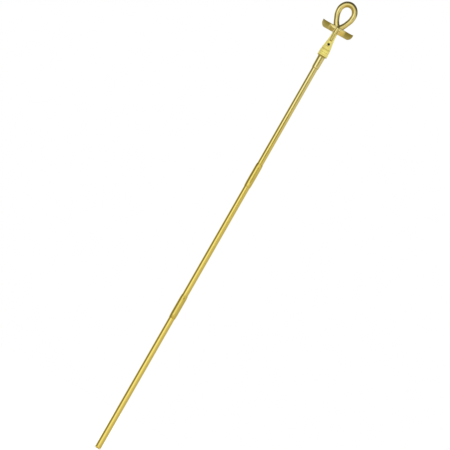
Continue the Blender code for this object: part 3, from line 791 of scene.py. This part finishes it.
def make_head_spigot():
    _, bottom, top = extent("head_spigot")
    flange_radius = extent("upper_tube")[0]
    radius = extent("upper_joint_spigot")[0]
    flange = bottom + SHANK_LENGTH
    corners = [
        (0.0, top),
        (NOSE_RADIUS - SPIGOT_CHAMFER, top),
        (NOSE_RADIUS, top - SPIGOT_CHAMFER),
        (NOSE_RADIUS, flange + FLANGE_HEIGHT),
        (flange_radius, flange + FLANGE_HEIGHT),
        (flange_radius, flange),
        (radius, flange),
        *reversed(grooved_side(radius, bottom, 1)),
        (0.0, bottom),
    ]
    seamed(lathe("head_spigot_turned", corners, closed=False), "head_spigot", TURNED)


# ---- head socket
def flare(share):
    """How far the socket has widened, from 0 at its neck to 1 at its foot."""
    share = min(max(share, 0.0), 1.0) ** FLARE_LATENESS
    return 0.75 * share * share * (3 - 2 * share) + 0.25 * share


class Socket:
    """The head socket's sizes, read from its CAD solid and its neighbours'."""

    low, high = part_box("head_socket")
    mouth, top = low.z, high.z
    screw_low, screw_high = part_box("set_screw")
    ring_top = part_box("socket_base_ring")[1].z + GAP
    foot_radius = (high.x - low.x) / 2
    flare_top = top - COLLAR_HEIGHT
    line = top - LINE_BELOW_TOP
    screw = (screw_low.z + screw_high.z) / 2
    screw_radius = (screw_high.x - screw_low.x) / 2
    spot_face_y = screw_low.y - GAP

    @classmethod
    def radius_at(cls, height):
        share = (cls.flare_top - height) / (cls.flare_top - cls.ring_top)
        return NECK_RADIUS + (cls.foot_radius - NECK_RADIUS) * flare(share)

    @classmethod
    def flare_points(cls, top, bottom, steps):
        heights = [top + (bottom - top) * i / steps for i in range(steps + 1)]
        return sharp((cls.radius_at(height), height) for height in heights)


def rib_outline(clearance=0.0):
    """Half of the round-ended rib, as (radius, height) corners from its top to its bottom."""
    low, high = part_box("ankh_stem")
    half_width = RIB_HALF_WIDTH + clearance
    top, bottom = high.z - RIB_HALF_WIDTH, low.z + RIB_HALF_WIDTH
    upper = arc((0.0, top), half_width, 90, 0, ARC_STEPS)
    lower = arc((0.0, bottom), half_width, 0, -90, ARC_STEPS)
    return [(0.0, top + half_width), *upper[1:], *lower[:-1], (0.0, bottom - half_width)]


def rib(name, side, clearance=0.0):
    """The flattened rib down the front (side -1) or the back (side +1) of the stem."""
    half_depth = RIB_HALF_DEPTH + clearance
    made = lathe(name, sharp(rib_outline(clearance)), closed=False, longest=3 * MM, steps=48)
    rib_y = side * (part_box("ankh_stem")[1].y - RIB_HALF_DEPTH)
    flatten = Matrix.Diagonal((1.0, half_depth / (RIB_HALF_WIDTH + clearance), 1.0, 1.0))
    made.data.transform(Matrix.Translation((0, rib_y, 0)) @ flatten)
    return made


def make_socket():
    ferrule_radius, _, ferrule_top = extent("head_ferrule")
    counterbore = ferrule_radius + GAP
    bore = NOSE_RADIUS + GAP
    web = Socket.top - WEB_BELOW_TOP
    half_line = LINE_WIDTH / 2
    line_top, line_foot = Socket.line + half_line, Socket.line - half_line
    line_floor = Socket.radius_at(Socket.line) - LINE_DEPTH
    corners = [
        (STUD_HOLE_RADIUS, Socket.top),
        (NECK_RADIUS, Socket.top, 0.5 * MM),
        *Socket.flare_points(Socket.flare_top, line_top, FLARE_STEPS[0])[:-1],
        (Socket.radius_at(line_top), line_top, 0.4 * MM),
        (line_floor, line_top - LINE_DEPTH, 0.3 * MM),
        (line_floor, line_foot + LINE_DEPTH, 0.3 * MM),
        (Socket.radius_at(line_foot), line_foot, 0.4 * MM),
        *Socket.flare_points(line_foot, Socket.ring_top, FLARE_STEPS[1])[1:-1],
        (Socket.foot_radius, Socket.ring_top, 0.2 * MM),
        (RING_BORE - GAP, Socket.ring_top, 0.1 * MM),
        (RING_BORE - GAP, Socket.mouth, 0.2 * MM),
        (counterbore, Socket.mouth, 0.3 * MM),
        (counterbore, ferrule_top + GAP, 0.1 * MM),
        (bore, ferrule_top + GAP, 0.3 * MM),
        (bore, web, 0.2 * MM),
        (STUD_HOLE_RADIUS, web, 0.2 * MM),
    ]
    socket = lathe("head_socket_cast", corners, longest=2 * MM, steps=SOCKET_STEPS)
    reach = 2 * Socket.foot_radius
    face = Socket.spot_face_y
    hole = Socket.screw_radius + SCREW_HOLE_CLEARANCE
    combine(
        socket,
        "DIFFERENCE",
        rib("front_seat", -1, GAP),
        rib("rear_seat", 1, GAP),
        rod("spot_face", SPOT_FACE_RADIUS, (0, face, Socket.screw), (0, -reach, Socket.screw)),
        rod("screw_hole", hole, (0, -bore / 2, Socket.screw), (0, -reach, Socket.screw)),
    )
    # darker in and round the turned line
    record_patina_and_shade(socket, lambda v: LINE_DARKENING * nearness(v.co.z, Socket.line, LINE_WIDTH))
    return finished(socket, "head_socket", CAST)


def make_base_ring():
    radius, bottom, top = extent("socket_base_ring")
    lower = (radius - RING_ROLL, bottom + RING_ROLL)
    upper = (radius - RING_ROLL, bottom + RING_ROLL + RING_WAIST)
    corners = [
        (RING_BORE, top),
        (Socket.foot_radius, top, 0.3 * MM),
        (Socket.foot_radius, upper[1] + RING_ROLL, 0.6 * MM),
        *sharp(arc(upper, RING_ROLL, 30, 0, 5)),
        *sharp(arc(lower, RING_ROLL, 0, -75, ARC_STEPS)),
        (RING_BORE, bottom, 0.5 * MM),
    ]
    ring = lathe("socket_base_ring_rolled", corners)
    # painted shade on the ring's downward-facing surfaces
    record_patina_and_shade(ring, lambda v: RING_UNDERSIDE_SHADE * share_between(-0.1, 0.6, -v.normal.z))
    return finished(ring, "socket_base_ring", CAST)


# ---- ankh
class Crossbar:
    """The crossbar's sizes, read from the arms' CAD solids and the stem's."""

    half_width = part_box("crossbar_right_arm")[1].x
    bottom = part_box("crossbar_right_arm")[0].z
    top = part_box("crossbar_right_arm")[1].z - TIP_FLARE
    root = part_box("crossbar_right_arm")[0].x
    root_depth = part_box("crossbar_right_arm")[1].y
    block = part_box("crossbar_right_arm")[0].x - GAP
    wedge_end = WEDGE_END * half_width
    ridge_turn = RIDGE_TURN * half_width
    bottom_turn = BOTTOM_TURN * half_width
    heel = HEEL_START * half_width
    rod_low, rod_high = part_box("crossbar_tie_rod")
    rod_z = (rod_low.z + rod_high.z) / 2


def between(start, end, share):
    return start + (end - start) * min(max(share, 0.0), 1.0)


def arm_section(x, inset=0.0):
    """The arm's outline at x as (x, y, z) points, with a ridge down its front and its back. inset
    draws it in, to round off an end."""
    size = abs(x)
    past_root = (size - Crossbar.block) / (Crossbar.wedge_end - Crossbar.block)
    past_wedge = (size - Crossbar.wedge_end) / (Crossbar.half_width - Crossbar.wedge_end)
    depth = between(Crossbar.root_depth, BLADE_DEPTH, past_root)
    if size > Crossbar.wedge_end:
        depth = between(BLADE_DEPTH, BLADE_TIP_DEPTH, past_wedge)
    depth -= inset
    heel = between(0, 1, (size - Crossbar.heel) / (Crossbar.half_width - Crossbar.heel))
    low = Crossbar.bottom + HEEL_RISE * (1 - math.sqrt(1 - heel * heel)) + inset
    high = Crossbar.top + TIP_FLARE * heel * heel - inset
    past_turn = (size - Crossbar.ridge_turn) / (Crossbar.wedge_end - Crossbar.ridge_turn)
    ridge = high + inset - between(RIDGE_DROP, RIDGE_DROP_END, past_turn)
    ridge = max(min(ridge, high - 0.3 * MM), low + 0.3 * MM)
    past_bottom_turn = (size - Crossbar.bottom_turn) / (Crossbar.wedge_end - Crossbar.bottom_turn)
    front = [
        (between(BOTTOM_SET_BACK, BOTTOM_SET_BACK_END, past_bottom_turn) - depth, low),
        (-depth, ridge),
        (TOP_SET_BACK - depth, high),
    ]
    corners = front + [(-y, z) for y, z in reversed(front)]
    return [(x, y, z) for y, z in softened(corners, ARM_FILLET, True)]


def arm_rings(start, end, steps, round_start, round_end):
    """Sections from start to end, drawn in over the last fraction of a millimetre at each end."""
    direction = math.copysign(1.0, end - start)
    rings = []
    turns = [math.radians(90 * i / FILLET_STEPS) for i in range(FILLET_STEPS + 1)]
    for turn in turns:
        x = start + direction * round_start * (1 - math.cos(turn))
        rings.append(arm_section(x, round_start * (1 - math.sin(turn))))
    inner_start = start + direction * round_start
    inner_end = end - direction * round_end
    for i in range(1, steps):
        share = i / steps
        eased = math.sin(math.radians(90 * share))
        rings.append(arm_section(inner_start + (inner_end - inner_start) * eased))
    for turn in reversed(turns):
        x = end - direction * round_end * (1 - math.cos(turn))
        rings.append(arm_section(x, round_end * (1 - math.sin(turn))))
    return rings


# Painted shade on the arms: the outer blades darken towards their tips, a little less near the
# bottom edge, and the lower facets darken too.
def arm_painted_shade(vertex):
    point = vertex.co
    low = share_between(Crossbar.top, Crossbar.bottom, point.z)
    outward = share_between(BLADE_SHADE_START, ARM_SHADE_FULL, abs(point.x)) * (1.0 - 0.25 * low)
    inner = share_between(LOW_FACET_SHADE_START, ARM_SHADE_FULL, abs(point.x))
    return max(outward, LOW_FACET_SHADE * inner * share_between(0.35, 0.6, low))


def make_arm(node, side):
    rings = arm_rings(
        side * Crossbar.root, side * Crossbar.half_width, ARM_STEPS, 0.4 * MM, 0.6 * MM
    )
    arm = skin(f"{node}_forged", rings)
    rod_end = side * (Crossbar.rod_high.x + GAP)
    ends = (0, 0, Crossbar.rod_z), (rod_end, 0, Crossbar.rod_z)
    hole = rod("rod_hole", TIE_ROD_RADIUS + GAP, *ends)
    combine(arm, "DIFFERENCE", hole)
    hand_finished(arm)
    # painted shade on the outer blades and the lower facets
    record_patina_and_shade(arm, arm_painted_shade)
    return finished(arm, node, BUFFED)


def make_stem():
    rings = arm_rings(-Crossbar.block, Crossbar.block, STEM_STEPS, 0.4 * MM, 0.4 * MM)
    stem = skin("ankh_stem_forged", rings)
    rod_z = Crossbar.rod_z
    wide = 2 * Crossbar.block
    tang_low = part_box("ankh_loop")[0].z
    wide_pocket, deep_pocket = TANG_HALF_WIDTH + GAP, TANG_HALF_DEPTH + GAP
    pocket_low = (-wide_pocket, -deep_pocket, tang_low - GAP)
    pocket_high = (wide_pocket, deep_pocket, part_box("ankh_stem")[1].z + GAP)
    stud_top = (0, 0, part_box("head_stud")[1].z + GAP)
    combine(stem, "UNION", rib("front_rib", -1), rib("rear_rib", 1))
    combine(
        stem,
        "DIFFERENCE",
        rod("rod_hole", TIE_ROD_RADIUS + GAP, (-wide, 0, rod_z), (wide, 0, rod_z)),
        rod("stud_hole", STUD_HOLE_RADIUS, (0, 0, Socket.top), stud_top),
        block("tang_pocket", pocket_low, pocket_high),
    )
    hand_finished(stem)
    # the rib darkens from just below the crossbar downwards
    drop = (1 * MM, 4 * MM)
    record_patina_and_shade(stem, lambda v: RIB_DARKENING * share_between(*drop, Crossbar.bottom - v.co.z))
    return finished(stem, "ankh_stem", BUFFED)


def bezier(start, start_handle, end_handle, end, share):
    rest = 1 - share
    return (
        start * rest**3
        + start_handle * 3 * rest * rest * share
        + end_handle * 3 * rest * share * share
        + end * share**3
    )


def loop_path(steps):
    """(x, z, bar radius) from the crest of the loop down its right side to its foot, in steps
    points for each of three stretches."""
    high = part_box("ankh_loop")[1]
    half_width = high.x - BAR_RADIUS
    crest_z = high.z - BAR_CREST_RADIUS
    widest_z = crest_z - LOOP_WIDEST_DROP
    crest = Vector((0.0, crest_z, BAR_CREST_RADIUS))
    side = Vector((half_width, widest_z, BAR_RADIUS))
    throat = Vector((LOOP_THROAT[0], Crossbar.top + LOOP_THROAT[1], BAR_THROAT_RADIUS))
    foot = Vector((LOOP_FOOT[0], Crossbar.top + LOOP_FOOT[1], BAR_FOOT_RADIUS))
    across = Vector((CIRCLE_HANDLE * half_width, 0.0, 0.0))
    up = Vector((0.0, CIRCLE_HANDLE * (crest_z - widest_z), 0.0))
    down = Vector((0.0, LOOP_DROP_HANDLE, 0.0))
    lean = Vector((math.sin(LOOP_THROAT_LEAN), math.cos(LOOP_THROAT_LEAN), 0.0))
    foot_lean = Vector((math.sin(LOOP_FOOT_LEAN), math.cos(LOOP_FOOT_LEAN), 0.0))
    above, below = LOOP_THROAT_HANDLES
    stretches = [
        (crest, crest + across, side + up, side),
        (side, side - down, throat + lean * above, throat),
        (throat, throat - lean * below, foot + foot_lean * LOOP_FOOT_HANDLE, foot),
    ]
    path = []
    for stretch in stretches:
        for i in range(steps):
            share = i / steps
            point = bezier(*stretch, share)
            thickness = between(stretch[0].z, stretch[3].z, share * share * (3 - 2 * share))
            path.append(Vector((point.x, point.y, thickness)))
    return path + [foot]


def make_loop():
    right = loop_path(STRETCH_STEPS)
    path = [Vector((-p.x, p.y, p.z)) for p in reversed(right[1:])] + right
    rings = []
    for i, point in enumerate(path):
        ahead = path[min(i + 1, len(path) - 1)] - path[max(i - 1, 0)]
        out = Vector((ahead.y, 0.0, -ahead.x)).normalized()
        centre = Vector((point.x, 0.0, point.y))
        sides = [out * math.cos(t) + Vector((0, 1, 0)) * math.sin(t) for t in full_turn(BAR_STEPS)]
        rings.append([centre + side * point.z for side in sides])
    half = len(rings) // 2
    loop = skin("ankh_loop_cast", rings[: half + 1])
    other = skin("loop_half", rings[half:])
    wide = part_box("ankh_loop")[1].x * 2
    seat_top = Crossbar.top + GAP
    for piece in (loop, other):
        cutter = block("seat", (-wide, -wide, seat_top - wide), (wide, wide, seat_top))
        combine(piece, "DIFFERENCE", cutter)
    combine(loop, "UNION", other)
    weld_crest(loop)
    tang_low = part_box("ankh_loop")[0].z
    tang = block(
        "tang",
        (-TANG_HALF_WIDTH, -TANG_HALF_DEPTH, tang_low),
        (TANG_HALF_WIDTH, TANG_HALF_DEPTH, seat_top + TANG_ABOVE_SEAT),
    )
    combine(loop, "UNION", tang)
    hand_finished(loop)
    return finished(loop, "ankh_loop", BUFFED)


def weld_crest(loop):
    """Takes out the cut line where the two halves of the loop meet at its crest."""
    built = bmesh.new()
    built.from_mesh(loop.data)
    bmesh.ops.remove_doubles(built, verts=built.verts, dist=0.002 * MM)
    inner = [
        face
        for face in built.faces
        if all(abs(v.co.x) < 0.01 * MM for v in face.verts)
        and min(v.co.z for v in face.verts) > Crossbar.top + LOOP_WIDEST_DROP
    ]
    bmesh.ops.delete(built, geom=inner, context="FACES_ONLY")
    built.to_mesh(loop.data)
    built.free()


# ---- clamp screw and hidden fixings
def hex_radius(turn, across_flats):
    """How far a hexagon's side is from its middle, in this direction."""
    sixth = math.tau / 6
    return across_flats / 2 / math.cos((turn % sixth) - sixth / 2)


def make_set_screw():
    """A headless screw with a hexagon socket and a real thread, built up +Z and laid along -Y."""
    radius = Socket.screw_radius
    length = Socket.screw_high.y - Socket.screw_low.y
    rows = []

    def row(reach_at, height):
        turns = full_turn(SCREW_STEPS)
        rows.append([(reach_at(t) * math.cos(t), reach_at(t) * math.sin(t), height) for t in turns])

    def thread(height):
        """The thread's radius at each turn: a rounded ridge that fades at both ends."""
        room = min(height, length - height)
        depth = THREAD_DEPTH * share_between(0.0, 0.9 * MM, room)
        chamfer = 0.5 * MM * (1 - share_between(0.0, 0.6 * MM, room))

        def reach(turn):
            phase = (height / SCREW_PITCH - turn / math.tau) % 1.0
            ridge = abs(2 * phase - 1)
            return radius - chamfer - depth * (1 - share_between(0.15, 0.85, ridge))

        return reach

    rows.append([(0.0, 0.0, 0.0)])
    row(lambda t: 0.55 * radius, 0.0)
    for i in range(THREAD_ROWS + 1):
        height = length * i / THREAD_ROWS
        row(thread(height), height)
    face_inner = 0.5 * HEX_SOCKET_WIDTH / math.cos(math.radians(30)) + 0.35 * MM
    row(lambda t: face_inner, length)
    row(lambda t: hex_radius(t, HEX_SOCKET_WIDTH + 0.1 * MM), length - 0.25 * MM)
    row(lambda t: hex_radius(t, HEX_SOCKET_WIDTH), length - 0.45 * MM)
    row(lambda t: hex_radius(t, HEX_SOCKET_WIDTH), length - HEX_SOCKET_DEPTH)
    row(lambda t: 0.35 * HEX_SOCKET_WIDTH, length - HEX_SOCKET_DEPTH - 0.2 * MM)
    rows.append([(0.0, 0.0, length - HEX_SOCKET_DEPTH - 0.7 * MM)])
    screw = skin("set_screw_threaded", rows)
    lay_forward(screw, Socket.screw_high.y)
    finished(screw, "set_screw", BLACK_STEEL)


def lay_forward(obj, start_y):
    """Lays a piece built up the Z axis along -Y, at the set screw's height."""
    obj.data.transform(
        Matrix.Translation((0, start_y, Socket.screw)) @ Matrix.Rotation(math.radians(90), 4, "X")
    )


def make_pad():
    low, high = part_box("set_screw_pad")
    radius, thickness = (high.x - low.x) / 2, high.y - low.y
    corners = [(0.0, thickness), (radius, thickness), (radius, 0.0), (0.0, 0.0)]
    pad = lathe("set_screw_pad_turned", corners, closed=False, steps=SMALL_STEPS)
    lay_forward(pad, high.y)
    finished(pad, "set_screw_pad", TURNED)


for tube_node in ("lower_tube", "middle_tube", "upper_tube"):
    make_tube(tube_node)
make_foot()
for joint in ("lower_joint", "upper_joint"):
    make_sleeve(f"{joint}_sleeve")
    make_spigot(f"{joint}_spigot")
for oring_node in ("lower_joint_oring", "upper_joint_oring", "head_mount_oring"):
    make_oring(oring_node)
make_ferrule()
make_head_spigot()
head_pieces = [
    make_socket(),
    make_base_ring(),
    make_stem(),
    make_arm("crossbar_left_arm", -1),
    make_arm("crossbar_right_arm", 1),
    make_loop(),
]
# painted shade in the head's creases and between its parts
record_occlusion_shade(head_pieces, OCCLUSION_SHADE_REACH)
make_set_screw()
make_pad()
for fixing in ("crossbar_tie_rod", "head_stud", "stud_washer", "stud_nut"):
    for material_slot in frame["nodes"][fixing].material_slots:
        material_slot.material = ZINC_STEEL

# ---- floor
FLOOR_RADIUS = 0.95 * STAFF_HEIGHT
FLOOR_THICKNESS = 4 * MM
FOOT_PATCH_RADIUS = 17 * MM  # brass reflects the floor only as far as this


def pale_floor():
    made, nodes, place = new_material("pale_floor")
    base = nodes.ramp(nodes.noise(place, 3.0), [(0.2, grey(0.92)), (0.8, grey(0.95))])
    close_material(nodes, {"Base Color": base, "Roughness": 0.9})
    return made


def make_floor(look):
    heights = (-FLOOR_THICKNESS, 0.0)
    patch = [ring_about_z(FOOT_PATCH_RADIUS, height, ROUND_STEPS) for height in heights]
    inner = skin("floor_under_foot", [*patch, ring_about_z(0.0, 0.0, ROUND_STEPS)])
    rim = [ring_about_z(FLOOR_RADIUS, height, ROUND_STEPS) for height in heights]
    outer = skin("floor", [*rim, *reversed(patch)], closed=True)
    outer.visible_glossy = False
    for piece in (inner, outer):
        piece.data.materials.append(look)


make_floor(pale_floor())

# ---- studio
# The camera sees plain white, and matt surfaces get an even light. Only glossy surfaces see these
# tables. They are no plain studio light: they were set to give the front its stripes. A
# table gives the light by compass bearing in degrees, where 0 is the camera's side and 90 is +X.
# An entry is (bearing, brightness) or (bearing, brightness, green gain, blue gain). LOWER_LEVEL
# spans the horizon. Each of the others takes over between the two elevations named *_FROM.
LOWER_LEVEL = [
    (-180, 0.95), (-150, 0.88), (-124, 0.62), (-97, 0.28), (-74, 0.21), (-56, 0.42),
    (-37, 1.02, 1.05, 1.4), (-16, 1.26, 1.06, 1.6), (4, 1.06, 1.04, 1.4), (22, 0.84, 1.0, 1.2),
    (42, 0.74, 1.0, 1.2), (62, 0.68, 1.0, 1.3), (85, 0.58, 1.0, 1.3), (110, 0.60), (135, 0.78),
    (180, 0.95),
]
UPPER_LEVEL = [
    (-180, 0.92), (-150, 0.84), (-124, 0.56), (-97, 0.24), (-78, 0.18), (-58, 0.36),
    (-39, 1.20, 1.08, 1.6), (-20, 1.30, 1.08, 1.6), (-9, 0.82, 1.0, 1.2), (2, 0.38), (12, 0.16),
    (23, 0.20), (41, 0.56, 1.0, 1.1), (64, 0.76, 1.0, 1.3), (90, 0.66, 1.0, 1.3), (125, 0.66),
    (180, 0.92),
]
HEAD_LEVEL = [
    (-180, 0.66), (-150, 0.52), (-122, 0.22), (-98, 0.11), (-66, 0.24), (-46, 0.80),
    (-26, 1.32, 1.03, 1.35), (0, 0.96, 1.02, 1.2), (18, 0.82), (40, 0.94), (62, 0.74), (90, 0.58),
    (120, 0.50), (150, 0.60), (180, 0.66),
]
SKY = [
    (-180, 0.46), (-140, 0.34), (-108, 0.13), (-62, 0.14), (-40, 0.36), (-24, 0.68, 1.0, 1.1),
    (0, 0.84, 1.0, 1.1), (16, 0.58), (40, 0.56), (62, 0.24), (108, 0.20), (150, 0.38), (180, 0.46),
]
LOW = [
    (-180, 0.66), (-150, 0.60), (-122, 0.28), (-92, 0.09), (-62, 0.44, 0.9, 0.7),
    (-34, 0.46, 0.88, 0.6), (-6, 0.66, 0.95, 0.9), (30, 0.76, 0.86, 0.6), (60, 0.74, 0.88, 0.8),
    (95, 0.40), (130, 0.50), (180, 0.66),
]
HIGH = (0.10, 0.10, 0.10)  # straight up, and flat
BELOW = (0.42, 0.37, 0.26)  # straight down, and flat
UPPER_FROM = (0.4, 1.7)
HEAD_FROM = (4.5, 6.0)
SKY_FROM = (7.5, 18)
HIGH_FROM = (28, 42)
LOW_FROM = (-6.5, -11)
BELOW_FROM = (-26, -42)
EVEN_LIGHT = [(0.0, grey(0.85)), (1.0, grey(1.32))]  # on matt surfaces, from below to above
EVEN_LIGHT_SPAN = (-60, 60)


def bearing_ramp(nodes, bearing, entries):
    stops = []
    for degrees, brightness, *gains in entries:
        green, blue = gains or (1.0, 1.0)
        colour = (brightness, brightness * green, brightness * blue)
        stops.append(((degrees + 180) / 360, colour))
    return nodes.ramp(bearing, stops, "EASE")


def make_studio():
    world = bpy.data.worlds.new("studio")
    bpy.context.scene.world = world
    world.use_nodes = True
    nodes = Nodes(world.node_tree)
    direction = nodes.add("ShaderNodeTexCoord").outputs["Generated"]
    split = nodes.add("ShaderNodeSeparateXYZ", {"Vector": direction}).outputs
    forward = nodes.math("MULTIPLY", split["Y"], -1.0)
    bearing = nodes.math("ARCTAN2", split["X"], forward)
    bearing = nodes.math("ADD", nodes.math("DIVIDE", bearing, math.tau), 0.5)
    elevation = nodes.math("MULTIPLY", nodes.math("ARCSINE", split["Z"]), 180 / math.pi)

    bands = [(UPPER_FROM, UPPER_LEVEL), (HEAD_FROM, HEAD_LEVEL), (SKY_FROM, SKY)]
    seen = bearing_ramp(nodes, bearing, LOWER_LEVEL)
    for start, table in bands:
        seen = nodes.mix(nodes.remap(elevation, *start), seen, bearing_ramp(nodes, bearing, table))
    seen = nodes.mix(nodes.remap(elevation, *HIGH_FROM), seen, opaque(HIGH))
    low = bearing_ramp(nodes, bearing, LOW)
    seen = nodes.mix(nodes.remap(elevation, *LOW_FROM), seen, low)
    seen = nodes.mix(nodes.remap(elevation, *BELOW_FROM), seen, opaque(BELOW))

    path = nodes.add("ShaderNodeLightPath").outputs
    around = nodes.ramp(nodes.remap(elevation, *EVEN_LIGHT_SPAN), EVEN_LIGHT)
    seen = nodes.mix(path["Is Diffuse Ray"], seen, around)
    seen = nodes.mix(path["Is Camera Ray"], seen, opaque(grey(1.0)))
    background = nodes.add("ShaderNodeBackground", {"Color": seen})
    output = nodes.add("ShaderNodeOutputWorld")
    nodes.feed(output.inputs["Surface"], background.outputs[0])
    world.cycles.sampling_method = "NONE"


make_studio()
bpy.context.scene.view_settings.view_transform = "Standard"

# ---- camera
CAMERA_LENS = 200.0
CAMERA_SENSOR = 36.0
FRAME_WIDTH = 0.8771 * STAFF_HEIGHT  # what the camera sees, at the staff
CAMERA_HEIGHT = 0.5005 * STAFF_HEIGHT
CAMERA_SIDE = -0.6 * MM
CAMERA_ROLL = math.radians(29.79)  # leans the staff's head to the right


def make_camera():
    data = bpy.data.cameras.new("camera")
    data.lens = CAMERA_LENS
    data.sensor_width = CAMERA_SENSOR
    camera = new_object("camera", data)
    across = Vector((math.cos(CAMERA_ROLL), 0, math.sin(CAMERA_ROLL)))
    up = Vector((-math.sin(CAMERA_ROLL), 0, math.cos(CAMERA_ROLL)))
    turn = Matrix((across, up, Vector((0, -1, 0)))).transposed().to_4x4()
    distance = FRAME_WIDTH * CAMERA_LENS / CAMERA_SENSOR
    camera.matrix_world = Matrix.Translation((CAMERA_SIDE, -distance, CAMERA_HEIGHT)) @ turn
    data.clip_end = 10 * distance
    bpy.context.scene.camera = camera


make_camera()
